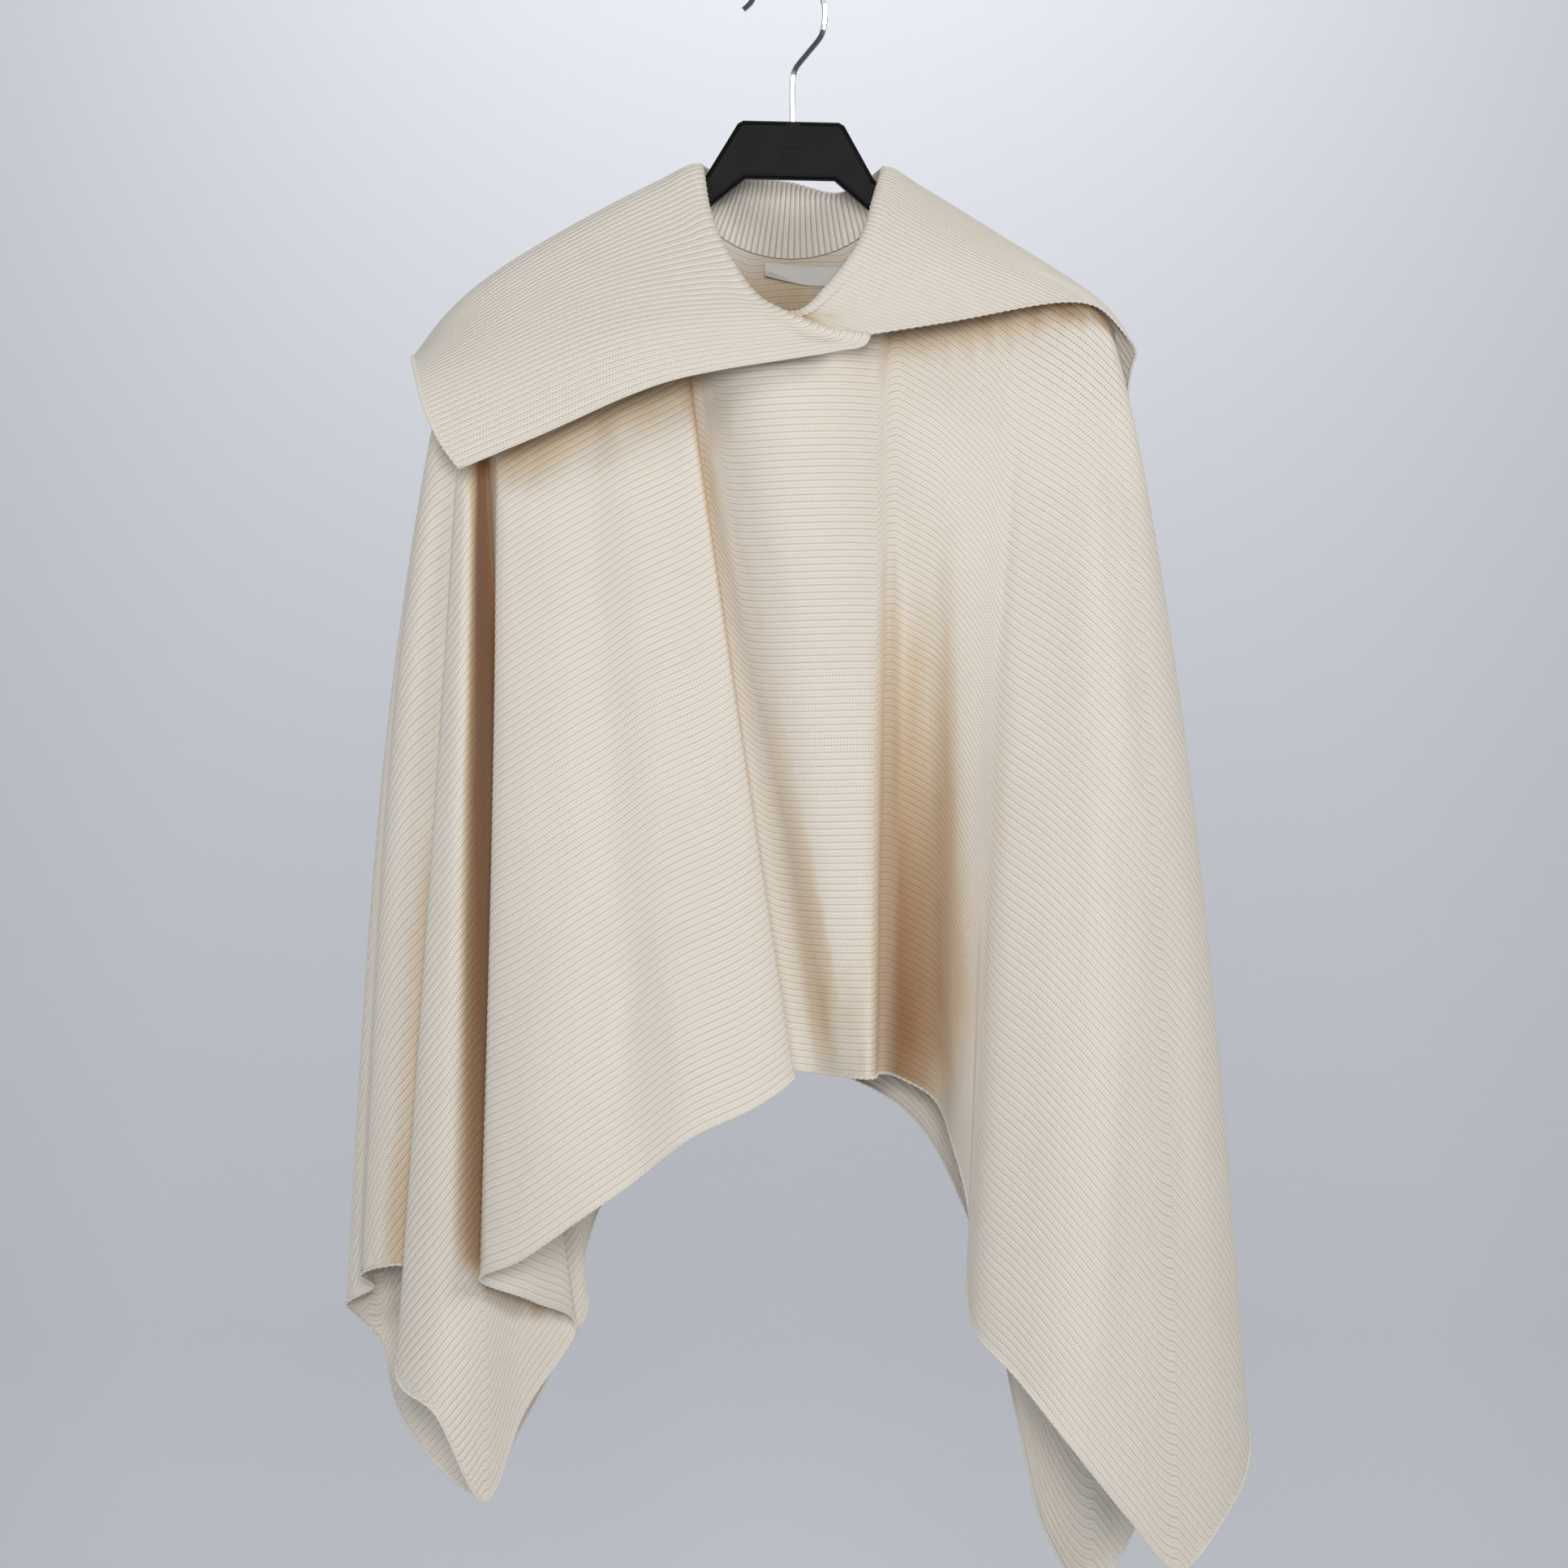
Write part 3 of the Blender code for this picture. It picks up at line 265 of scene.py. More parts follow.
# Collar band, from its left end at the front, round the left shoulder, the back and the right
# shoulder, to its right end under the left one
COLLAR = (
    Section("left_end", 372, 12, (51, -71, -235), (-72, -66, -263), (-199, -56, -315)),
    Section("left_front", 364, 12, (31, -71, -231), (-84, -63, -246), (-211, -50, -300)),
    Section("left_front_rise", 350, 11, (9, -68, -223), (-92, -59, -231), (-219, -44, -284)),
    Section("left_neck", 331, 6, (-14, -58, -210), (-101, -50, -216), (-225, -38, -267)),
    Section("left_neck_rise", 310, 0, (-33, -43, -182), (-113, -39, -198), (-229, -28, -253)),
    Section("left_side", 291, 0, (-45, -24, -152), (-136, -27, -188), (-232, -15, -243), 2),
    Section("left_shoulder_front", 278, 0, (-50, -8, -122.5), (-164, -11, -179), (-233, -4, -240), 5),
    Section("left_shoulder", 270, 0, (-51, 0, -119), (-168, 0, -176), (-233, 3, -239), 6.5),
    Section("left_shoulder_back", 262, 0, (-50, 8, -118), (-165, 11, -179), (-232, 9, -246), 5),
    Section("left_back", 244, 0, (-43, 25, -118), (-132, 36, -200), (-214, 30, -290), 1),
    Section("left_back_neck", 214, 0, (-24, 47, -116.5), (-76, 66, -222), (-120, 76, -336)),
    Section("back", 180, 0, (5, 55, -119), (4, 76, -232), (4, 84, -352)),
    Section("right_back_neck", 146, 0, (34, 47, -127), (82, 66, -224), (126, 76, -336)),
    Section("right_back", 116, 0, (53, 25, -122), (132, 36, -202), (208, 30, -292), 1),
    Section("right_shoulder_back", 98, 0, (59, 8, -119.5), (164, 11, -188), (219, 9, -243), 6),
    Section("right_shoulder", 90, 0, (60, 0, -120.5), (168, 0, -184), (221, 0, -236), 8),
    Section("right_shoulder_front", 82, 0, (59, -8, -125), (160, -11, -185), (213, -9, -226), 6),
    Section("right_side", 69, 0, (54, -24, -144), (126, -26, -180), (191, -20, -207), 2),
    Section("right_neck_rise", 52, 0, (48, -39, -166), (100, -38, -189), (155, -32, -211)),
    Section("right_neck", 36, 0, (37, -48, -186), (76, -46, -203), (119, -42, -220)),
    Section("right_front", 18, 0, (22, -54, -205), (50, -53, -216), (84, -50, -227)),
    Section("right_front_low", 2, 0, (9, -56, -217), (32, -55, -225), (54, -54, -232)),
    Section("right_end", -13, 0, (-13, -56, -217), (4, -56, -228), (20, -54, -238)),
)

# Soft creases of the front, from their upper to their lower end; a negative depth is towards the viewer
FRONT_CREASES = (
    Crease("panel_trough", -90, -602, -116, -726, 13, 3.2),
    Crease("panel_swell", -128, -560, -150, -740, 22, -2.6),
    Crease("panel_low_swell", -66, -610, -58, -700, 16, -2.4),
    Crease("shoulder_swell", 150, -300, 196, -430, 26, -2.2),
    Crease("drape_ridge_high", 206, -400, 212, -520, 9, -2.6),
    Crease("drape_ridge_low", 205, -640, 190, -860, 12, -3.0),
    Crease("drape_trough", 182, -470, 176, -700, 15, 2.6),
    Crease("drape_side_trough", 232, -560, 248, -800, 14, 2.6),
    Crease("strip_swell", -222, -460, -226, -760, 8, -1.6),
)

# Shade deep in the folds, painted into the colour, and stretches where the ribs stand out more, with
# higher relief and darker painted shade in their grooves; both grow down the mark
FRONT_SHADOWS = (
    Crease("valley", 60, -360, 76, -720, 22, 0.36),
    Crease("left_gap", -190, -330, -190, -800, 7, 0.24),
)
BACK_SHADOWS = (
    Crease("neck_inside", 6, -160, 8, -215, 34, 0.30),
    Crease("left_tail_inside", -200, -800, -215, -925, 30, 0.08),
    Crease("right_tail_inside", 170, -880, 195, -1020, 34, 0.08),
)
FRONT_STRONG_RIBS = (
    Crease("main_strip", -222, -560, -226, -860, 16, 0.9),
    Crease("tail", -215, -850, -205, -930, 20, 0.9),
)


def blend_weights(knots, at):
    """How much each knot's row counts at one place, on a smooth curve through all rows."""
    last = len(knots) - 1
    span = max(0, min(last - 1, sum(1 for knot in knots if knot <= at) - 1))
    width = knots[span + 1] - knots[span]
    u = (at - knots[span]) / width
    weights = np.zeros(last + 1)

    def add_slope(index, amount):
        before = max(index - 1, 0)
        after = min(index + 1, last)
        if before == index or after == index:
            run = knots[after] - knots[before]
            weights[after] += amount / run
            weights[before] -= amount / run
            return
        left = knots[index] - knots[before]
        right = knots[after] - knots[index]
        total = left + right
        weights[index] += amount * (right / left - left / right) / total
        weights[before] -= amount * right / left / total
        weights[after] += amount * left / right / total

    weights[span] += 2 * u**3 - 3 * u**2 + 1
    weights[span + 1] += 3 * u**2 - 2 * u**3
    add_slope(span, (u**3 - 2 * u**2 + u) * width)
    add_slope(span + 1, (u**3 - u**2) * width)
    return weights


def interpolate(knots, rows, at):
    """A smooth curve through rows of numbers, at one place between the first and last knot."""
    return blend_weights(knots, at) @ np.asarray(rows, dtype=float)


def chord_knots(points, power=0.5):
    """Knots spaced by a power of the distance between points."""
    knots = [0.0]
    for before, after in zip(points, points[1:]):
        knots.append(knots[-1] + max((Vector(after) - Vector(before)).length, 1e-6) ** power)
    return knots


def spread_places(knots, counts):
    """Places between knots, with a given number in each span, and the last knot."""
    places = []
    for knot, following, count in zip(knots, knots[1:], counts):
        places += [knot + (following - knot) * piece / count for piece in range(count)]
    return places + [knots[-1]]


def tilt(x, z):
    """Turn a point of the level hanger by the hanger's tilt about the foot of its hook."""
    angle = math.radians(HANGER_TILT_DEG)
    dx = x - HANGER_X
    dz = z - BRIDGE_TOP
    return (
        HANGER_X + dx * math.cos(angle) + dz * math.sin(angle),
        BRIDGE_TOP + dz * math.cos(angle) - dx * math.sin(angle),
    )


def arm_point(station):
    """A point of the cloth's shoulder line over the arm; a negative station is on the left."""
    stations = [row.station for row in ARM_TOP]
    rows = [(row.reach, row.height) for row in ARM_TOP]
    along = max(stations[0], min(abs(station), stations[-1]))
    reach, height = interpolate(stations, rows, along)
    ahead = interpolate(stations, rows, min(along + STATION_STEP, stations[-1]))
    behind = interpolate(stations, rows, max(along - STATION_STEP, stations[0]))
    run = Vector(ahead - behind).normalized()
    x, z = tilt(
        HANGER_X + math.copysign(reach - run.y * ARM_LIFT, station), height + run.x * ARM_LIFT
    )
    return Vector((x, 0.0, z))


def neck_point(angle_deg):
    """A point of the neckline, by its angle from the front centre towards the right."""
    angle = math.radians(angle_deg)
    depth = abs(NECK_DEPTH * math.cos(angle))
    on_arm = min(depth, ROLL_RADIUS)
    corner = 1 - on_arm / ROLL_RADIUS
    beyond_arm = (depth - on_arm) / (NECK_DEPTH - ROLL_RADIUS)
    drop = NECK_FRONT_DROP if math.cos(angle) > 0 else NECK_BACK_DROP
    height = NECK_SIDE_HEIGHT - NECK_CORNER_FALL * corner - drop * beyond_arm
    height -= ROLL_RADIUS - math.sqrt(ROLL_RADIUS**2 - on_arm**2)
    reach = NECK_HALF_WIDTH * math.sin(angle) + math.copysign(NECK_CORNER * corner, math.sin(angle))
    x, z = tilt(HANGER_X + reach, height)
    return Vector((x, -math.copysign(depth, math.cos(angle)), z))


def start_of_line(station, side):
    """Where a fold line starts, the way it rolls over the arm and how far it has turned there."""
    if abs(station) <= 1.0:
        start = neck_point(90.0 * station if side < 0 else 180.0 - 90.0 * station)
        return start, Vector((0.0, side, 0.0)), math.asin(min(abs(start.y) / ROLL_RADIUS, 1.0))
    past_tip = max(0.0, abs(station) - ARM_TIP_STATION) / (LAST_STATION - ARM_TIP_STATION)
    if past_tip == 0.0:
        return arm_point(station), Vector((0.0, side, 0.0)), 0.0
    turn = past_tip * math.pi / 2
    outward = Vector((math.copysign(math.sin(turn), station), side * math.cos(turn), 0.0))
    before_tip = arm_point(math.copysign(ARM_TIP_STATION - 2 * STATION_STEP, station))
    slope = (arm_point(station) - before_tip).normalized()
    lean = math.asin(-slope.z) * math.sin(turn)
    return arm_point(station) + slope * (math.sin(turn) * TIP_SPREAD), outward, lean


def edge_depths(folds, first_corner, last_corner):
    """The knit depth at each fold's lower end: less than full where the end is on a side edge."""
    names = [fold.name for fold in folds]
    first = names.index(first_corner)
    last = names.index(last_corner)
    depths = []
    for index in range(len(folds)):
        start, stop = (index, first) if index < first else (last, index)
        run = 0.0
        for before, after in zip(folds[start:stop], folds[start + 1:stop + 1]):
            run += (Vector(after[2:5]) - Vector(before[2:5])).length
        depths.append(PANEL_DEPTH - run)
    return depths


def fold_table():
    """All fold lines round the garment, as rows of numbers with their knots."""
    rows = []
    for fold, depth in zip(FRONT_FOLDS, edge_depths(FRONT_FOLDS, "left_corner", "right_corner")):
        rows.append((fold.x, fold.y, fold.z, fold.station, fold.growth, fold.belly, depth))
    back_depths = edge_depths(BACK_FOLDS, "back_right_corner", "back_left_corner")
    for fold, depth in zip(BACK_FOLDS, back_depths):
        round_place = 2 * LAST_STATION - fold.station
        rows.append((fold.x, fold.y, fold.z, round_place, fold.growth, fold.belly, depth))
    once_round = 4 * LAST_STATION
    ahead = [(*row[:3], row[3] - once_round, *row[4:]) for row in rows[-WRAP:]]
    behind = [(*row[:3], row[3] + once_round, *row[4:]) for row in rows[:WRAP + 1]]
    rows = ahead + rows + behind
    return chord_knots([row[:3] for row in rows]), np.array(rows, dtype=float)


FOLD_TABLE = fold_table()


def on_panel(round_place):
    """The station of a place on the way round, and its side: -1 for the front, 1 for the back."""
    if abs(round_place) <= LAST_STATION:
        return round_place, -1.0
    return math.copysign(2 * LAST_STATION, round_place) - round_place, 1.0


def fold_line(place):
    """The fold line at one place round the garment, and the knit depth at its lower end."""
    knots, rows = FOLD_TABLE
    x, y, z, round_place, growth, belly, depth = interpolate(knots, rows, place)
    start, outward, lean = start_of_line(*on_panel(round_place))
    station = abs(on_panel(round_place)[0])
    end = Vector((x, y, z))
    return Line(start, outward, lean, end, growth, belly, station), min(depth, PANEL_DEPTH)


def line_points(line, lengths):
    """Points at distances down one fold line, from its start over the roll to its lower end."""
    lengths = np.asarray(lengths, dtype=float)
    start = np.array(line.start)
    outward = np.array(line.outward)
    near = np.minimum(lengths, ROLL_LENGTH)
    rolled = np.minimum(near, ROLL_RADIUS * (math.pi / 2 - line.lean))
    angle = line.lean + rolled / ROLL_RADIUS
    reach = ROLL_RADIUS * (np.sin(angle) - math.sin(line.lean))
    points = start + outward * reach[:, None]
    points[:, 2] -= ROLL_RADIUS * (math.cos(line.lean) - np.cos(angle)) + near - rolled
    end = np.array(line.end)
    below = lengths > ROLL_LENGTH
    shoulder = points[below]
    if len(shoulder):
        total = np.linalg.norm(end - shoulder[0])
        t = (lengths[below] - ROLL_LENGTH) / total
        point = shoulder + (end - shoulder) * t[:, None]
        span = total + ROLL_LENGTH - ARM_CLEAR_LENGTH
        share = np.maximum(0.0, (lengths[below] - ARM_CLEAR_LENGTH) / span)
        late = max(0.0, min((line.growth - EARLY_GROWTH) / (LATE_GROWTH - EARLY_GROWTH), 1.0))
        begin = FOLD_BEGIN_SHARE + (LATE_BEGIN_SHARE - FOLD_BEGIN_SHARE) * late
        begun = np.minimum(share / begin, 1.0)
        growth = share**line.growth * begun**2 * (3 - 2 * begun)
        swell = ROLL_RADIUS + NECK_SWELL * math.exp(-((line.station / NECK_SWELL_SPREAD) ** 2))
        eased = np.minimum((lengths[below] - ROLL_LENGTH) / NECK_EASE_LENGTH, 1.0)
        ease = eased**2 * (3 - 2 * eased)
        upper_y = shoulder[:, 1] + (line.outward.y * swell - shoulder[:, 1]) * ease
        point[:, 1] = upper_y + (end[1] - upper_y) * growth
        point[:, 0] += line.belly * np.sin(math.pi * np.minimum(t, 1.0) ** BELLY_POWER)
        points[below] = point
    return points


def line_length(line):
    """The length of one fold line."""
    shoulder = line_points(line, [ROLL_LENGTH])[0]
    return ROLL_LENGTH + float(np.linalg.norm(np.array(line.end) - shoulder))


def panel_places(first_fold, fold_count):
    """Places of a panel's columns."""
    knots, rows = FOLD_TABLE
    first = WRAP + first_fold
    last = first + fold_count
    counts = []
    for row, following in zip(rows[first:last], rows[first + 1:last]):
        span = np.linalg.norm(following[:3] - row[:3])
        neck_span = abs(following[3] - row[3]) * NECK_HALF_WIDTH * math.pi / 2
        at_neck = min(abs(on_panel(row[3])[0]), abs(on_panel(following[3])[0])) < 1.0
        at_neck_count = at_neck * round(neck_span / NECK_COLUMN_STEP)
        counts.append(max(3, round(span / PANEL_COLUMN_STEP), at_neck_count))
    return spread_places(knots[first:last], counts)


def unit(vectors):
    """Vectors of an array, made one long."""
    length = np.linalg.norm(vectors, axis=-1, keepdims=True)
    return vectors / np.maximum(length, 1e-9)


def panel_grid(first_fold, fold_count, creases=()):
    """A panel before its ribs are raised: points, normals, shares of the fold lines and knit depths."""
    places = panel_places(first_fold, fold_count)
    depths = np.arange(len(RIB_PROFILE) * PANEL_RIBS + 1) * RIB_PITCH / len(RIB_PROFILE)
    points = []
    normals = []
    shares = []
    for place in places:
        line, end_depth = fold_line(place)
        start_depth = max(0.0, end_depth - line_length(line)) if line.station < 1.0 else 0.0
        share = np.clip((depths - start_depth) / (end_depth - start_depth), 0.0, 1.0)
        before, after = (fold_line(place + step)[0] for step in (-NORMAL_STEP, NORMAL_STEP))
        column = line_points(line, share * line_length(line))
        along = line_points(after, np.maximum(share * line_length(after), NORMAL_LENGTH))
        along -= line_points(before, np.maximum(share * line_length(before), NORMAL_LENGTH))
        down = line_points(line, share * line_length(line) + DOWN_STEP)
        down -= line_points(line, np.maximum(share * line_length(line) - DOWN_STEP, 0.0))
        points.append(column)
        normals.append(unit(np.cross(down, along)))
        shares.append(share)
    return creased(np.array(points), creases), np.array(normals), np.array(shares), depths


def along_mark(points, mark):
    """Each point's share of the way down a mark, and how near it lies, from 1 on it to 0 far away."""
    top = np.array((mark.x_top, mark.z_top))
    run = np.array((mark.x_low, mark.z_low)) - top
    offset = points[..., (0, 2)] - top
    share = np.clip(offset @ run / (run @ run), 0.0, 1.0)
    away = np.linalg.norm(offset - share[..., None] * run, axis=-1)
    return share, np.exp(-((away / mark.width) ** 2))


def creased(points, creases):
    """Points of a panel with its soft creases, each shallow at its ends."""
    moved = points.copy()
    for crease in creases:
        share, near = along_mark(points, crease)
        swell = np.sin(math.pi * (CREASE_END + (1 - 2 * CREASE_END) * share))
        moved[..., 1] += crease.depth * (near * swell)
    return moved


def marked(points, marks):
    """How much of the soft marks lies at each point, from 0 away from all of them."""
    amount = np.zeros(points.shape[:2])
    for mark in marks:
        share, near = along_mark(points, mark)
        amount = np.maximum(amount, mark.depth * share**MARK_ONSET * near)
    return amount


def hemisphere():
    """Directions spread over a half sphere, closer together round its pole."""
    golden = math.pi * (3 - math.sqrt(5))
    ways = []
    for index in range(SHADE_RAYS):
        out = math.sqrt((index + 0.5) / SHADE_RAYS)
        turn = index * golden
        ways.append((out * math.cos(turn), out * math.sin(turn), math.sqrt(1 - out * out)))
    return ways


def fold_shade(points, normals, tree):
    """How far each point's more open side lies in a fold, from 0 in the open to 1 where hidden."""
    columns = sorted({*range(0, points.shape[0], SHADE_COLUMN_STEP), points.shape[0] - 1})
    rows = sorted({*range(0, points.shape[1], SHADE_ROW_STEP), points.shape[1] - 1})
    ways = hemisphere()
    coarse = np.ones((len(columns), len(rows)))
    for a, i in enumerate(columns):
        for b, j in enumerate(rows):
            for side in (1.0, -1.0):
                normal = Vector(normals[i, j]) * side
                start = Vector(points[i, j]) + normal * SHADE_START
                turn = normal.to_track_quat("Z", "Y")
                hidden = 0.0
                for way in ways:
                    distance = tree.ray_cast(start, turn @ Vector(way), SHADE_REACH)[3]
                    if distance is not None:
                        hidden += 1 - distance / SHADE_REACH
                coarse[a, b] = min(coarse[a, b], hidden / len(ways))
    wide = np.array([np.interp(range(points.shape[0]), columns, column) for column in coarse.T]).T
    return np.array([np.interp(range(points.shape[1]), rows, row) for row in wide])


def add_object(name, data):
    """A new object in the scene."""
    thing = bpy.data.objects.new(name, data)
    bpy.context.scene.collection.objects.link(thing)
    return thing


def point_numbers(points):
    """The numbers of a grid's points."""
    columns, rows = points.shape[:2]
    return np.arange(columns * rows).reshape(columns, rows)


def quads(index):
    """Faces between the neighbours in a grid of point numbers."""
    return np.stack((index[:-1, :-1], index[:-1, 1:], index[1:, 1:], index[1:, :-1]), axis=-1)


def sheet_object(name, points, knit_x, knit_y, material, keep=..., **shades):
    """A mesh sheet from a grid of points in millimetres, with its place in the knit as UVs."""
    faces = quads(point_numbers(points))[keep].reshape(-1, 4)
    mesh = bpy.data.meshes.new(name)
    mesh.from_pydata((points.reshape(-1, 3) * MM).tolist(), [], faces.tolist())
    layer = mesh.uv_layers.new(name="knit")
    corners = faces.reshape(-1)
    places = np.stack((knit_x.reshape(-1)[corners], knit_y.reshape(-1)[corners]), axis=-1)
    layer.data.foreach_set("uv", places.astype(np.float32).reshape(-1))
    for shade_name, shade in shades.items():
        layer = mesh.attributes.new(shade_name, "FLOAT", "CORNER")
        layer.data.foreach_set("value", shade.reshape(-1)[corners].astype(np.float32))
    work = bmesh.new()
    work.from_mesh(mesh)
    bmesh.ops.remove_doubles(work, verts=work.verts, dist=MERGE_DISTANCE * MM)
    loose = [vert for vert in work.verts if not vert.link_faces]
    bmesh.ops.delete(work, geom=loose, context="VERTS")
    work.to_mesh(mesh)
    work.free()
    mesh.shade_smooth()
    mesh.materials.append(material)
    return add_object(name, mesh)


def rib_heights(profile, count):
    """The relief of ribs with one profile, along a number of points."""
    return np.array(profile)[np.arange(count) % len(profile)]


def build_panel(name, grid, tree, material, shadows, strong_ribs=()):
    """One knitted panel, with its ribs in relief."""
    points, normals, shares, depths = grid
    relief = rib_heights(RIB_PROFILE, len(depths)) * PANEL_RELIEF
    gaps = np.linalg.norm(np.diff(points, axis=0), axis=-1)
    gaps = np.concatenate((gaps[:1], gaps))
    strong = marked(points, strong_ribs)
    amount = relief[None, :] * np.clip(gaps / FULL_RELIEF_GAP, 0.0, 1.0) * (1.0 + strong)
    inner = (shares > 0.0) & (shares < 1.0)
    ribbed = points + normals * (amount * inner)[:, :, None]
    knit_x = np.cumsum(gaps, axis=0)
    knit_y = np.broadcast_to(depths / RIB_PITCH, shares.shape)
    lower = shares[:, 1:]
    upper = shares[:, :-1]
    keep = ~((upper[:-1] >= 1.0) & (upper[1:] >= 1.0)) & ~((lower[:-1] <= 0.0) & (lower[1:] <= 0.0))
    shade = fold_shade(points, normals, tree) + marked(points, shadows)
    return sheet_object(
        name, ribbed, knit_x, knit_y, material, keep, fold_shade=shade, strong_ribs=strong
    )


def edge_bead(name, route, phases, material):
    """The bound edge of the knit: a thin bead along a route, with a bump at the end of each rib."""
    route = np.asarray(route)
    tangents = unit(np.gradient(route, axis=0))
    side = unit(np.cross(tangents, np.array(EDGE_SIDE_REFERENCE)))
    up = np.cross(side, tangents)
    turns = np.arange(EDGE_SIDES) * 2 * math.pi / EDGE_SIDES
    rings = EDGE_RADIUS * (EDGE_BEAD + EDGE_BUMP * np.cos(2 * math.pi * np.asarray(phases)))
    ring = side[:, None] * np.cos(turns)[None, :, None] + up[:, None] * np.sin(turns)[None, :, None]
    points = route[:, None] + ring * rings[:, None, None]
    index = point_numbers(points)
    closed = np.concatenate((index, index[:, :1]), axis=1)
    faces = quads(closed).reshape(-1, 4).tolist() + [index[0, ::-1].tolist(), index[-1].tolist()]
    mesh = bpy.data.meshes.new(name)
    mesh.from_pydata((points.reshape(-1, 3) * MM).tolist(), [], faces)
    mesh.shade_smooth()
    mesh.materials.append(material)
    return add_object(name, mesh)


def lower_edge(first_fold, fold_count):
    """The route of a panel's lower edge, and the rib phase along it."""
    knots, _ = FOLD_TABLE
    first = knots[WRAP + first_fold]
    last = knots[WRAP + first_fold + fold_count - 1]

    def ends(count):
        return np.array([fold_line(place)[0].end for place in np.linspace(first, last, count)])

    length = np.linalg.norm(np.diff(ends(EDGE_SAMPLES), axis=0), axis=1).sum()
    route = ends(round(length / EDGE_STEP) + 1)
    run = np.cumsum(np.linalg.norm(np.diff(route, axis=0), axis=1))
    return route, np.concatenate(([0.0], run)) / RIB_PITCH


def search_tree(*grids):
    """One search tree of grids of points. Seen from outside the garment, a grid that runs to the
    right and down has its faces turned outward."""
    points = []
    faces = []
    for grid in grids:
        faces += (quads(point_numbers(grid)) + len(points)).reshape(-1, 4).tolist()
        points += [Vector(point) for point in grid.reshape(-1, 3)]
    return BVHTree.FromPolygons(points, faces)


def push_out(point, layers, gap):
    """Move a point out of the cloth below it, until it is a gap above each layer."""
    for layer in layers:
        found = [tree.find_nearest(point) for tree in layer]
        place, normal, _, distance = min(found, key=lambda hit: hit[3])
        height = (point - place).dot(normal)
        beside = abs(height) < BESIDE_SHARE * distance
        if height < gap and not beside and distance < PUSH_REACH:
            point = point + normal * (gap - height)
    return point


def settle(grid, columns, rows, layers, gap):
    """Lay part of a grid on the cloth below it, and spread the moves that this takes."""
    moves = {(i, j): Vector() for i in columns for j in rows}
    for _ in range(SETTLE_PASSES):
        pushed = {}
        for (i, j), move in moves.items():
            pushed[i, j] = push_out(grid[i][j] + move, layers, gap) - grid[i][j]
        for (i, j), move in pushed.items():
            near = [pushed[k] for k in ((i - 1, j), (i + 1, j), (i, j - 1), (i, j + 1)) if k in pushed]
            moves[i, j] = move.lerp(sum(near, Vector()) / len(near), SETTLE_SPREAD)
    for (i, j), move in moves.items():
        grid[i][j] = push_out(grid[i][j] + move, layers, gap)


def clear_of_arm(point):
    """Move a point of the collar out of the way of the cloth over a hanger arm and its tip."""
    side = math.copysign(1.0, point.x - HANGER_X)
    centres = []
    for step in range(ARM_CLEAR_STEPS + 1):
        station = 1.0 + (ARM_TIP_STATION - 1.0) * step / ARM_CLEAR_STEPS
        centres.append(arm_point(side * station) - Vector((0.0, 0.0, ROLL_RADIUS)))
    centres.append(centres[-1] - Vector((0.0, 0.0, ARM_CLEAR_LENGTH)))
    nearest = None
    for start, end in zip(centres, centres[1:]):
        share = (point - start).dot(end - start) / (end - start).length_squared
        place = start.lerp(end, max(0.0, min(share, 1.0)))
        if nearest is None or (point - place).length < (point - nearest).length:
            nearest = place
    offset = point - nearest
    if offset.length >= ARM_CLEARANCE:
        return point
    return nearest + offset * (ARM_CLEARANCE / offset.length)


def square_to(way, line):
    """A direction turned square to a line, one long."""
    return (way - line * way.dot(line)).normalized()


def collar_section_points(angle_deg, lift, fold, middle, edge, bulge, along):
    """Points across the band: up the stand, over the fold and down the fall to the free edge."""
    angle = math.radians(angle_deg)
    outward = Vector((math.sin(angle), -math.cos(angle), 0.0))
    seam = neck_point(angle_deg) + outward * lift
    rise = (fold - seam).normalized()
    fall = (middle - fold).normalized()
    crest = (square_to(rise, along) - square_to(fall, along)).normalized()
    over = crest.cross(along)
    centre = fold - crest * FOLD_RADIUS
    stand_top = centre - over * FOLD_RADIUS
    fall_top = centre + over * FOLD_RADIUS
    seam_run = (neck_point(angle_deg + 1.0) - neck_point(angle_deg - 1.0)).normalized()
    seam += square_to(UP, seam_run) * SEAM_LIFT
    over_tip = square_to(UP, (edge - middle).normalized())
    knuckle = middle.lerp(edge, KNUCKLE_SHARE) + over_tip * bulge
    controls = [tuple(point) for point in (seam, stand_top, fold, fall_top, middle, knuckle, edge)]
    knots = chord_knots(controls)
    places = spread_places(knots, COLLAR_ACROSS)[:-1]
    return [Vector(interpolate(knots, controls, place)) for place in places] + [edge]


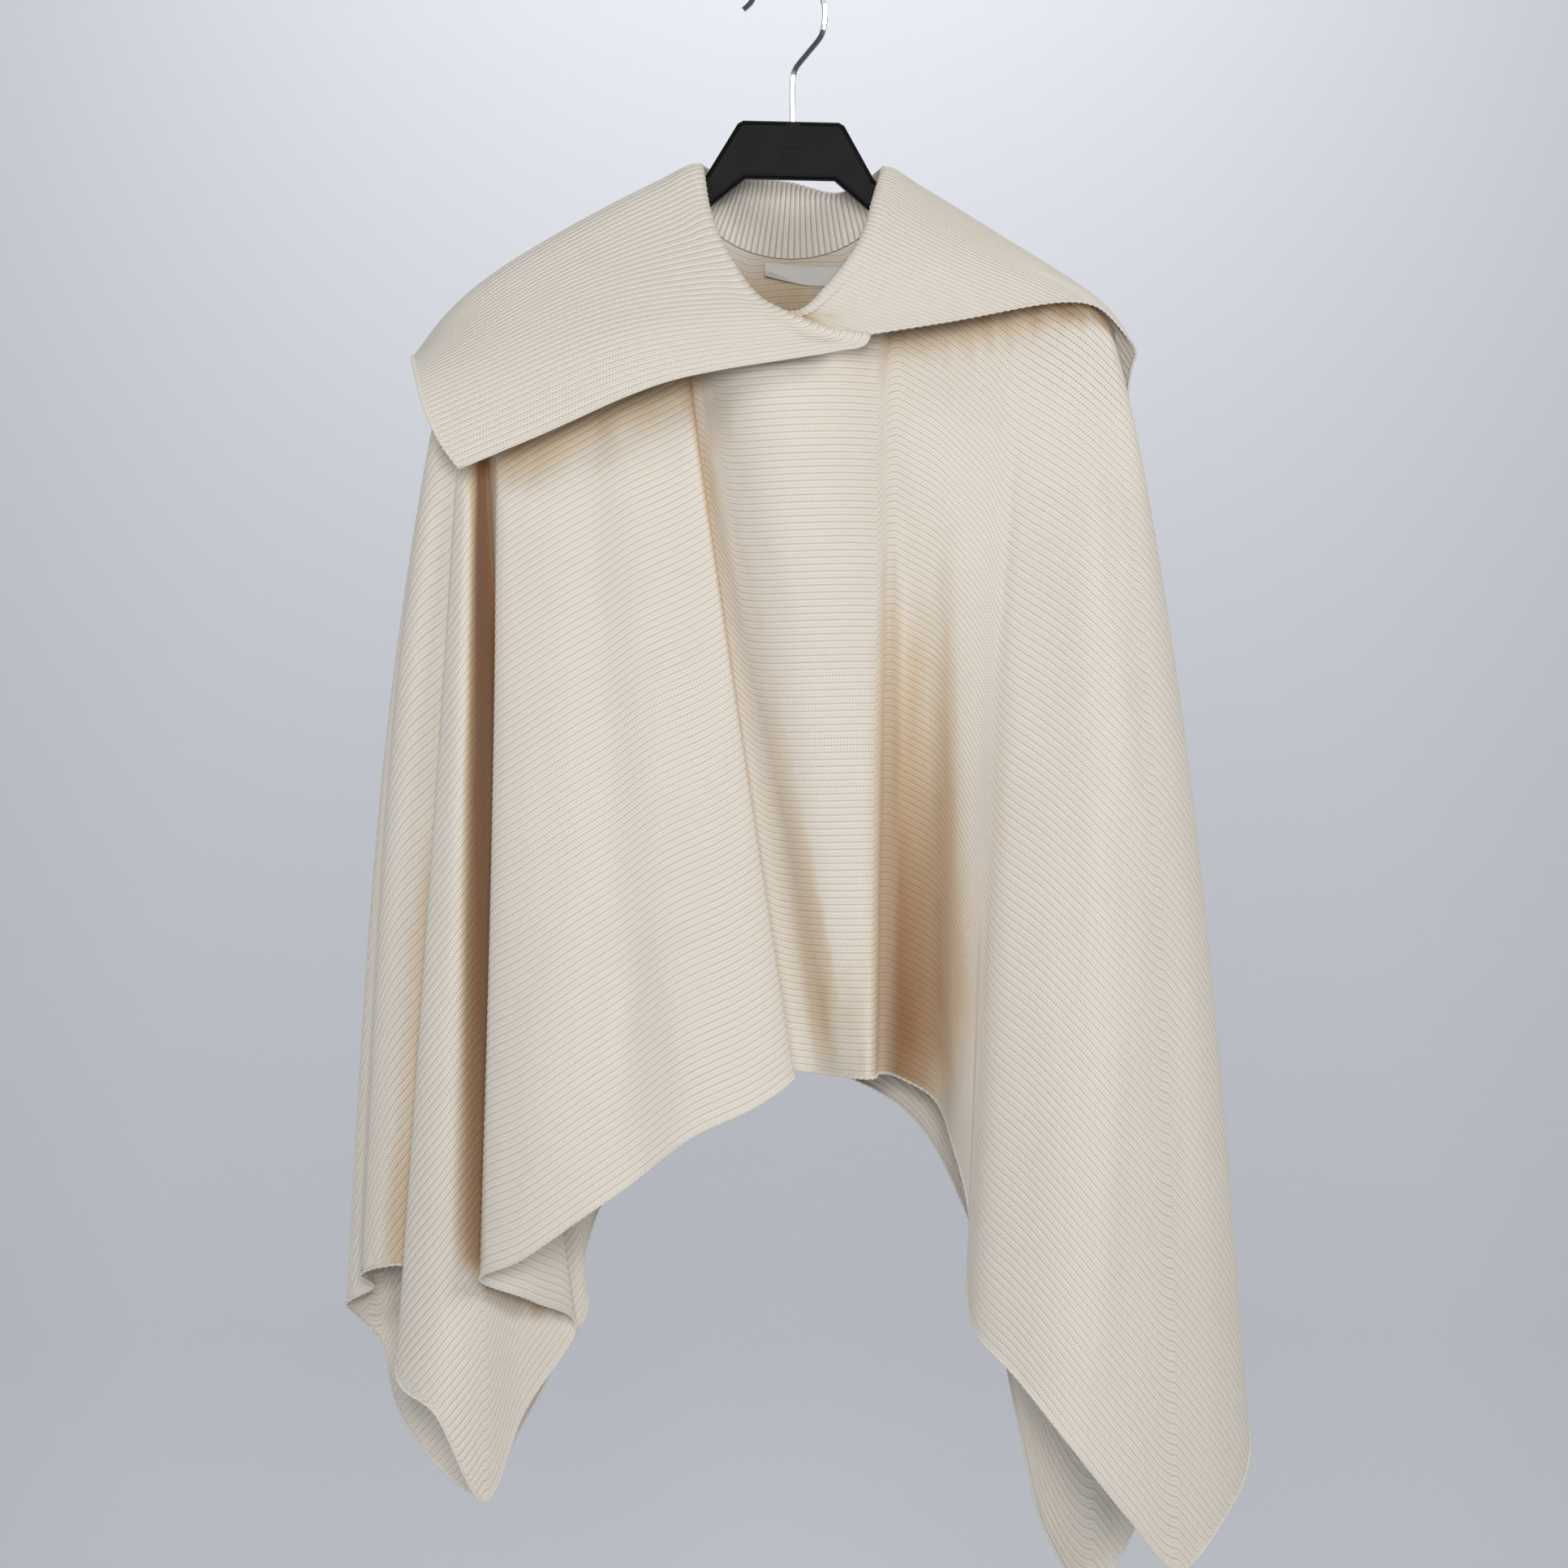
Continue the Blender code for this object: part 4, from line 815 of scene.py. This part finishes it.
def collar_cage(body_trees):
    """A coarse grid of the collar band, resting just clear of the cloth below it."""
    rows = [(row.angle, row.lift, *row.fold, *row.middle, *row.edge, row.bulge) for row in COLLAR]
    across = sum(COLLAR_ACROSS) + 1
    marks = [(Vector(row.fold) + Vector(row.edge)) / 2 for row in COLLAR]
    knots = chord_knots(marks)
    counts = []
    for index in range(len(rows) - 1):
        span = (marks[index + 1] - marks[index]).length
        shoulders = ("shoulder" in COLLAR[index].name) + ("shoulder" in COLLAR[index + 1].name)
        counts.append(max(2, round(span / COLLAR_COLUMN_STEPS[shoulders])))
    places = spread_places(knots, counts)
    grid = []
    for place in places:
        angle, lift, *values, bulge = interpolate(knots, rows, place)
        fold, middle, edge = (Vector(values[k:k + 3]) for k in (0, 3, 6))
        before = interpolate(knots, rows, max(place - NORMAL_STEP, 0.0))
        after = interpolate(knots, rows, min(place + NORMAL_STEP, knots[-1]))
        along = (Vector(after[2:5]) - Vector(before[2:5])).normalized()
        grid.append(
            collar_section_points(angle, max(lift, 0.0), fold, middle, edge, bulge, along)
        )
    for column in grid:
        for j in range(FALL_ROW, across):
            column[j] = clear_of_arm(column[j])
    layer = WALL + LAYER_GAP
    settle(grid, range(len(grid)), range(FALL_ROW + 1, across), [body_trees], layer)
    left_end = [i for i, place in enumerate(places) if place <= knots[LEFT_END_SECTIONS]]
    right_end = [i for i, place in enumerate(places) if place >= knots[-RIGHT_END_SECTIONS]]
    under = np.array([grid[i][FALL_ROW - 2:] for i in reversed(right_end)])
    settle(grid, left_end, range(FALL_ROW + 1, across), [body_trees, [search_tree(under)]], layer)
    return np.array(grid)


def smoothed(cage):
    """The collar's grid with the small dents of its fall and free edge evened out."""
    first = FALL_ROW + 1
    for _ in range(COLLAR_SMOOTHING):
        inner = cage[1:-1, first:-1]
        near = cage[2:, first:-1] + cage[:-2, first:-1]
        near = near + cage[1:-1, first + 1:] + cage[1:-1, first - 1:-2]
        edge = cage[1:-1, -1]
        beside = (cage[2:, -1] + cage[:-2, -1]) / 2
        new_inner = inner + SMOOTH_INNER * (near / 4 - inner)
        new_edge = edge + SMOOTH_EDGE * (beside - edge)
        cage[1:-1, first:-1] = new_inner
        cage[1:-1, -1] = new_edge
    return cage


def collar_grid(body_trees):
    """The collar band before its ribs are raised: points, normals and where its rows lie."""
    cage = smoothed(collar_cage(body_trees))
    middle = cage[:, int(cage.shape[1] * MIDDLE_ROW_SHARE)]
    column_knots = np.concatenate(([0.0], np.cumsum(np.linalg.norm(np.diff(middle, axis=0), axis=1))))
    from_back = np.linspace(0.0, 1.0, PITCH_SAMPLES) - COLLAR_BACK_SHARE
    backness = np.exp(-(from_back / COLLAR_BACK_SPREAD) ** 4)
    pitch = COLLAR_RIB_PITCH + (COLLAR_BACK_RIB_PITCH - COLLAR_RIB_PITCH) * backness
    rib_count = np.concatenate(([0.0], np.cumsum(1 / pitch[1:]))) * column_knots[-1]
    rib_count /= PITCH_SAMPLES - 1
    steps = round(rib_count[-1]) * len(COLLAR_RIB_PROFILE)
    rib_places = np.linspace(0.0, rib_count[-1], steps + 1)
    at = np.interp(rib_places, rib_count, np.linspace(0.0, column_knots[-1], PITCH_SAMPLES))
    knots = column_knots.tolist()
    columns = np.array([blend_weights(knots, place) for place in at])
    across = np.linalg.norm(np.diff(cage, axis=1), axis=2).mean(axis=0)
    row_knots = np.concatenate(([0.0], np.cumsum(across))).tolist()
    rows_at = np.linspace(0.0, row_knots[-1], COLLAR_ROWS + 1)
    rows = np.array([blend_weights(row_knots, place) for place in rows_at])
    points = np.einsum("ia,abk,jb->ijk", columns, cage, rows)
    normals = unit(np.cross(np.gradient(points, axis=0), np.gradient(points, axis=1)))
    return points, normals, rows_at


def build_collar(grid, tree, material):
    """The collar band, its ribs running across it from the neck seam to the free edge."""
    points, normals, rows_at = grid
    along = np.gradient(points, axis=0)
    count = len(points)
    relief = rib_heights(COLLAR_RIB_PROFILE, count)
    stand_relief = rib_heights(STAND_RIB_PROFILE, count)
    spread = np.linalg.norm(along, axis=-1) * len(COLLAR_RIB_PROFILE) / COLLAR_RIB_PITCH
    away = np.abs(np.linspace(0.0, 1.0, count) - COLLAR_BACK_SHARE)
    at_back = np.clip((STAND_BACK_REACH - away) / STAND_BACK_FADE, 0.0, 1.0)
    on_stand = at_back[:, None] * np.clip((STAND_HEIGHT - rows_at) / STAND_FADE, 0.0, 1.0)[None, :]
    amount = relief[:, None] * (1.0 - on_stand) * COLLAR_RELIEF * np.clip(spread, LEAST_RELIEF, 1.0)
    amount += stand_relief[:, None] * on_stand * COLLAR_STAND_RELIEF
    ribbed = points + normals * amount[:, :, None]
    knit_x = np.broadcast_to(rows_at[None, :], points.shape[:2])
    rib_phase = np.arange(count) / len(COLLAR_RIB_PROFILE)
    knit_y = np.broadcast_to(rib_phase[:, None], points.shape[:2])
    # The stand loses most of its painted fold shade, which paints light on it; its mask goes to the
    # material, which paints it lighter still and darkens its grooves
    shade = fold_shade(points, normals, tree) * (1.0 - STAND_SHADE_CUT * on_stand)
    return sheet_object(
        "collar_band", ribbed, knit_x, knit_y, material, fold_shade=shade, deep_ribs=on_stand
    )


def build_label(material, back_tree):
    """The bare woven label inside the back neck, its left end hanging a little loose."""
    top = neck_point(180.0).z - LABEL_DROP
    points = np.zeros((LABEL_COLUMNS + 1, LABEL_ROWS + 1, 3))
    for i in range(LABEL_COLUMNS + 1):
        across = i / LABEL_COLUMNS
        loose = max(0.0, LABEL_LOOSE_SHARE - across)
        for j in range(LABEL_ROWS + 1):
            down = j / LABEL_ROWS
            x = LABEL_LEFT + LABEL_WIDTH * across
            z = top - LABEL_HEIGHT * down - LABEL_SLOPE * LABEL_WIDTH * across
            place = back_tree.ray_cast(Vector((x, 0.0, z)), Vector((0.0, 1.0, 0.0)))[0]
            y = place.y - WALL / 2 - LABEL_STAND_OFF
            curl = LABEL_LOOSE_CURL * loose * loose * down
            corner = LABEL_CORNER_CURL * max(0.0, 1.0 - (across + 1.0 - down) / LABEL_CORNER_SHARE)
            points[i, j] = (x, y - curl - corner, z + LABEL_CORNER_LIFT * corner)
    thing = sheet_object("label_tape", points, points[:, :, 0], points[:, :, 2], material)
    thickness = thing.modifiers.new("thickness", "SOLIDIFY")
    thickness.thickness = LABEL_THICK * MM
    thickness.offset = 0.0
    return thing


def set_inputs(made, inputs):
    """Set input sockets of a node by their names, which have a low line for each space."""
    for name, value in inputs.items():
        made.inputs[name.replace("_", " ")].default_value = value
    return made


def node(tree, kind, **inputs):
    """A shader node, with some of its input sockets set."""
    return set_inputs(tree.nodes.new(kind), inputs)


def texture(tree, kind, **inputs):
    """The value of a texture node that is laid in the object's own coordinates."""
    made = node(tree, kind, **inputs)
    coords = tree.nodes.new("ShaderNodeTexCoord")
    tree.links.new(coords.outputs["Object"], made.inputs["Vector"])
    return made.outputs["Fac"]


def attribute(tree, name):
    """A named value that the mesh carries at its corners, 0 where it carries none."""
    made = tree.nodes.new("ShaderNodeAttribute")
    made.attribute_name = name
    return made.outputs["Fac"]


def math_node(tree, operation, first, second=None, third=None):
    """A math node fed by sockets or numbers, as its output socket."""
    made = tree.nodes.new("ShaderNodeMath")
    made.operation = operation
    for socket, value in zip(made.inputs, (first, second, third)):
        if value is None:
            continue
        if isinstance(value, (int, float)):
            socket.default_value = value
        else:
            tree.links.new(value, socket)
    return made.outputs[0]


def scaled(colour, factors):
    """A colour with its channels scaled."""
    return tuple(channel * factor for channel, factor in zip(colour, factors))


def colour_mix(tree, amount, first, second, kind="MIX"):
    """Mix of two colours, which are sockets or tuples, as an output socket."""
    made = tree.nodes.new("ShaderNodeMix")
    made.data_type = "RGBA"
    made.blend_type = kind
    for socket, value in ((made.inputs[0], amount), (made.inputs[6], first), (made.inputs[7], second)):
        if isinstance(value, tuple):
            socket.default_value = (*value, 1.0)
        elif isinstance(value, float):
            socket.default_value = value
        else:
            tree.links.new(value, socket)
    return made.outputs[2]


def principled(name, **inputs):
    """A new material with a Principled shader, as the material, its tree and its shader."""
    material = bpy.data.materials.new(name)
    material.use_nodes = True
    tree = material.node_tree
    return material, tree, set_inputs(tree.nodes["Principled BSDF"], inputs)


def smooth_step(tree, value, low, high):
    """0 below a low value and 1 above a high one, with a soft change between, as a socket."""
    made = tree.nodes.new("ShaderNodeMapRange")
    made.interpolation_type = "SMOOTHSTEP"
    tree.links.new(value, made.inputs[0])
    made.inputs[1].default_value = low
    made.inputs[2].default_value = high
    return made.outputs[0]


def surface(tree, shader, base, height, strength, distance):
    """Give a shader its base colour and its fine relief."""
    tree.links.new(base, shader.inputs["Base Color"])
    bump = node(tree, "ShaderNodeBump", Strength=strength, Distance=distance)
    tree.links.new(height, bump.inputs["Height"])
    tree.links.new(bump.outputs[0], shader.inputs["Normal"])


def knit_material(name, light, stitch):
    """Cream rib knit: rounded ribs, a soft line of painted shade between them and small stitch holes
    along them, with painted shade in the folds and a lighter stand as painted light.
    """
    material, tree, shader = principled(
        name, Roughness=0.9, Sheen_Weight=0.3, Sheen_Roughness=0.6, Sheen_Tint=(1.0, 0.96, 0.9, 1.0),
        Subsurface_Weight=0.15, Subsurface_Radius=(0.006, 0.003, 0.0015), Subsurface_Scale=1.0
    )

    def times(first, second):
        return math_node(tree, "MULTIPLY", first, second)

    uv = tree.nodes.new("ShaderNodeUVMap")
    uv.uv_map = "knit"
    split = tree.nodes.new("ShaderNodeSeparateXYZ")
    tree.links.new(uv.outputs[0], split.inputs[0])
    along, rib = split.outputs[0], split.outputs[1]
    deep_ribs = attribute(tree, "deep_ribs")
    strong_ribs = attribute(tree, "strong_ribs")

    # Where the grooves, the crowns and the stitches lie
    from_groove = math_node(tree, "PINGPONG", rib, 0.5)
    groove = smooth_step(tree, from_groove, 0.17, 0.0)
    crown = smooth_step(tree, from_groove, 0.36, 0.5)
    from_stitch = math_node(tree, "PINGPONG", math_node(tree, "DIVIDE", along, stitch), 0.5)
    groove_holes = times(groove, smooth_step(tree, from_stitch, 0.34, 0.08))
    crown_holes = times(crown, smooth_step(tree, from_stitch, 0.16, 0.42))
    holes = math_node(tree, "MAXIMUM", times(groove_holes, 0.5), times(crown_holes, 0.36))
    # The line between the ribs is painted shade in their grooves: wider and darker on the stand, and
    # darker where the ribs are marked strong
    wide_groove = smooth_step(tree, math_node(tree, "PINGPONG", times(rib, 0.5), 0.5), 0.24, 0.06)
    plain_groove = times(groove, math_node(tree, "SUBTRACT", 1.0, deep_ribs))
    line = math_node(tree, "MAXIMUM", times(wide_groove, deep_ribs), plain_groove)
    strength = math_node(tree, "MULTIPLY_ADD", strong_ribs, 0.3, 0.16)
    line = times(line, math_node(tree, "MULTIPLY_ADD", deep_ribs, 0.5, strength))

    # The stretched place, where the grooves let some light through
    coords = tree.nodes.new("ShaderNodeTexCoord")
    stretched = tree.nodes.new("ShaderNodeVectorMath")
    stretched.operation = "DISTANCE"
    tree.links.new(coords.outputs["Object"], stretched.inputs[0])
    stretched.inputs[1].default_value = STRETCHED_PLACE
    stretch = smooth_step(tree, stretched.outputs["Value"], STRETCHED_REACH, STRETCHED_REACH * 0.5)
    see_through = times(times(groove, stretch), smooth_step(tree, from_stitch, 0.4, 0.1))

    # The shade in the folds
    tints = tree.nodes.new("ShaderNodeValToRGB")
    tree.links.new(attribute(tree, "fold_shade"), tints.inputs[0])
    stops = tints.color_ramp.elements
    while len(stops) < len(FOLD_TINTS):
        stops.new(0.5)
    for stop, (depth, tint) in zip(stops, FOLD_TINTS):
        stop.position = depth
        stop.color = (*tint, 1.0)

    wide = texture(tree, "ShaderNodeTexNoise", Scale=14.0, Detail=3.0)
    base = colour_mix(tree, wide, light, scaled(light, (0.96, 0.95, 0.93)))
    # The collar's stand painted a lighter cream, as painted light
    base = colour_mix(tree, deep_ribs, base, STAND_PAINTED_LIGHT)
    base = colour_mix(tree, line, base, scaled(light, GROOVE_SHADE_TINT))
    on_plain = math_node(tree, "MULTIPLY_ADD", deep_ribs, -0.7, 1.0)
    base = colour_mix(tree, times(holes, on_plain), base, scaled(light, HOLE_TINT))
    base = colour_mix(tree, times(see_through, 0.8), base, SEE_THROUGH)
    base = colour_mix(tree, 1.0, base, tints.outputs[0], "MULTIPLY")

    fuzz = texture(tree, "ShaderNodeTexNoise", Scale=1100.0, Detail=4.0)
    height = math_node(tree, "SUBTRACT", times(fuzz, 0.5), times(groove, 0.5))
    height = math_node(tree, "SUBTRACT", height, times(holes, 1.3))
    surface(tree, shader, base, height, 0.6, 0.0005)
    return material


def edge_material():
    """The bound edge, a little darker than the knit and without its stitches."""
    material, tree, shader = principled("knit_edge", Roughness=0.9, Sheen_Weight=0.3)
    fuzz = texture(tree, "ShaderNodeTexNoise", Scale=700.0, Detail=4.0)
    base = colour_mix(tree, fuzz, scaled(CREAM, (0.84, 0.84, 0.84)), CREAM)
    surface(tree, shader, base, fuzz, 0.6, 0.0004)
    return material


def tape_material():
    """Plain woven label tape."""
    material, tree, shader = principled("label_weave", Roughness=0.75)
    warp = texture(tree, "ShaderNodeTexWave", Scale=900.0, Distortion=0.3)
    weft = texture(tree, "ShaderNodeTexWave", Scale=700.0, Distortion=0.3)
    weft.node.bands_direction = "Z"
    weave = math_node(tree, "MULTIPLY", warp, weft)
    base = colour_mix(tree, weave, (0.80, 0.78, 0.74), (0.98, 0.97, 0.95))
    surface(tree, shader, base, weave, 0.4, 0.0002)
    return material


def plastic_material():
    """Black moulded plastic with a fine satin grain."""
    material, tree, shader = principled("hanger_plastic", Specular_IOR_Level=0.12)
    grain = texture(tree, "ShaderNodeTexNoise", Scale=1600.0, Detail=2.0)
    marks = texture(tree, "ShaderNodeTexNoise", Scale=60.0, Detail=5.0)
    base = colour_mix(tree, marks, (0.003, 0.003, 0.0035), (0.008, 0.008, 0.009))
    rough = math_node(tree, "MULTIPLY_ADD", marks, 0.3, 0.28)
    tree.links.new(rough, shader.inputs["Roughness"])
    surface(tree, shader, base, grain, 0.15, 0.0002)
    return material


def chrome_material():
    """Bright plated wire with faint drawing marks."""
    plated = (0.55, 0.55, 0.57, 1.0)
    material, tree, shader = principled("plated_wire", Base_Color=plated, Metallic=1.0)
    marks = texture(tree, "ShaderNodeTexNoise", Scale=300.0, Detail=3.0)
    rough = math_node(tree, "MULTIPLY_ADD", marks, 0.16, 0.06)
    tree.links.new(rough, shader.inputs["Roughness"])
    return material


def build_camera():
    """The photo's view: level, square on to the front."""
    picture_pixels = 1932
    pixel_at_hanger = 0.00051
    distance = 2.0
    data = bpy.data.cameras.new("camera")
    data.sensor_width = 36.0
    data.lens = data.sensor_width / (picture_pixels * pixel_at_hanger) * distance
    data.clip_end = 30.0
    camera = add_object("camera", data)
    camera.location = (-0.0005, -distance, -0.508)
    camera.rotation_euler = (math.pi / 2, 0.0, 0.0)
    bpy.context.scene.camera = camera


def area_light(name, place, target, size, power, colour):
    """A soft square lamp aimed at a target."""
    data = bpy.data.lights.new(name, "AREA")
    data.size = size
    data.energy = power
    data.color = colour
    lamp = add_object(name, data)
    lamp.location = place
    way = Vector(target) - Vector(place)
    lamp.rotation_euler = way.to_track_quat("-Z", "Y").to_euler()


def build_stage():
    """A plain pale floor that curves up into a backdrop, and soft light."""
    radius = 0.5
    floor_height = -1.95
    back = 3.4
    steps = 12
    profile = [(-4.0, floor_height)]
    for step in range(steps + 1):
        turn = step / steps * math.pi / 2
        rise = radius * (1 - math.cos(turn))
        profile.append((back - radius + radius * math.sin(turn), floor_height + rise))
    profile.append((back, 4.0))
    mesh = bpy.data.meshes.new("stage_floor")
    points = [(x, y, z) for y, z in profile for x in (-5.0, 5.0)]
    faces = [(2 * i, 2 * i + 1, 2 * i + 3, 2 * i + 2) for i in range(len(profile) - 1)]
    mesh.from_pydata(points, [], faces)
    mesh.shade_smooth()
    floor = add_object("stage_floor", mesh)
    paper = (0.90, 0.92, 0.96, 1.0)
    mesh.materials.append(principled("stage_paper", Roughness=0.9, Base_Color=paper)[0])

    world = bpy.data.worlds.new("studio")
    world.use_nodes = True
    sky = {"Color": (0.84, 0.87, 0.92, 1.0), "Strength": 0.14}
    set_inputs(world.node_tree.nodes["Background"], sky)
    bpy.context.scene.world = world
    bpy.context.scene.view_settings.view_transform = "Standard"
    target = (0.0, 0.0, -0.5)
    area_light("key", (1.9, -1.45, 0.55), target, 0.8, 21.0, (1.0, 0.98, 0.95))
    area_light("fill", (-1.9, -1.4, 0.35), target, 0.9, 12.0, (0.99, 0.99, 1.0))
    area_light("front", (0.0, -2.1, -0.2), target, 0.5, 19.0, (1.0, 0.99, 0.98))
    area_light("backdrop", (0.0, 1.6, 1.9), (0.0, back, -0.6), 1.5, 38.0, (0.98, 0.99, 1.0))
    area_light("back", (0.5, 1.3, 0.9), target, 1.5, 5.0, (1.0, 1.0, 1.0))


def dress(thing, nodes=()):
    """Tie a piece to the frame's root body, and hide the solids that it stands for."""
    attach(thing, "root")
    if nodes:
        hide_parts(*nodes)


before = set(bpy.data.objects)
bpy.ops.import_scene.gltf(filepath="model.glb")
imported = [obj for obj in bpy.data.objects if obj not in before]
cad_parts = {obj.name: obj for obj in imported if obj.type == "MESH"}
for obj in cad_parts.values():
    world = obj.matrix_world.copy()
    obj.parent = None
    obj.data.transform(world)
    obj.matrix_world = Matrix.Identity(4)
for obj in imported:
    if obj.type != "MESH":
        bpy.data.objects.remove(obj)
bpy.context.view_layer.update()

panel_knit = knit_material("panel_knit", CREAM, PANEL_STITCH)
collar_knit = knit_material("collar_knit", CREAM, COLLAR_STITCH)
bound_edge = edge_material()

front_count = len(FRONT_FOLDS)
back_count = len(BACK_FOLDS) + 2
front_grid = panel_grid(0, front_count, FRONT_CREASES)
back_grid = panel_grid(front_count - 1, back_count)
panel_points = [grid[0][:, ::TREE_ROW_STEP] for grid in (front_grid, back_grid)]
panel_trees = [search_tree(points) for points in panel_points]
band_grid = collar_grid(panel_trees)
band = band_grid[0]
cloth_tree = search_tree(*panel_points, band[::BAND_TREE_STEP, ::BAND_TREE_STEP])

front = build_panel("front_cloth", front_grid, cloth_tree, panel_knit, FRONT_SHADOWS, FRONT_STRONG_RIBS)
back = build_panel("back_cloth", back_grid, cloth_tree, panel_knit, BACK_SHADOWS)
collar = build_collar(band_grid, cloth_tree, collar_knit)
label = build_label(tape_material(), panel_trees[1])

edges = {}
for name, first, count in (("front", 0, front_count), ("back", front_count - 1, back_count)):
    route, phases = lower_edge(first, count)
    edges[name] = edge_bead(f"{name}_edge", route, phases, bound_edge)
rib_phases = np.arange(len(band)) / len(COLLAR_RIB_PROFILE)
even_phases = np.full(band.shape[1], 0.25)
edges["collar"] = edge_bead("collar_edge", band[:, -1], rib_phases, bound_edge)
edges["collar_left"] = edge_bead("collar_left_edge", band[0], even_phases, bound_edge)

dress(front, ("front_panel",))
dress(back, ("back_panel",))
dress(collar, ("collar",))
dress(label, ("neck_label",))
for edge in edges.values():
    dress(edge)

for name, material in (("hanger_body", plastic_material()), ("hanger_hook", chrome_material())):
    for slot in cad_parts[name].material_slots:
        slot.material = material

build_stage()
build_camera()
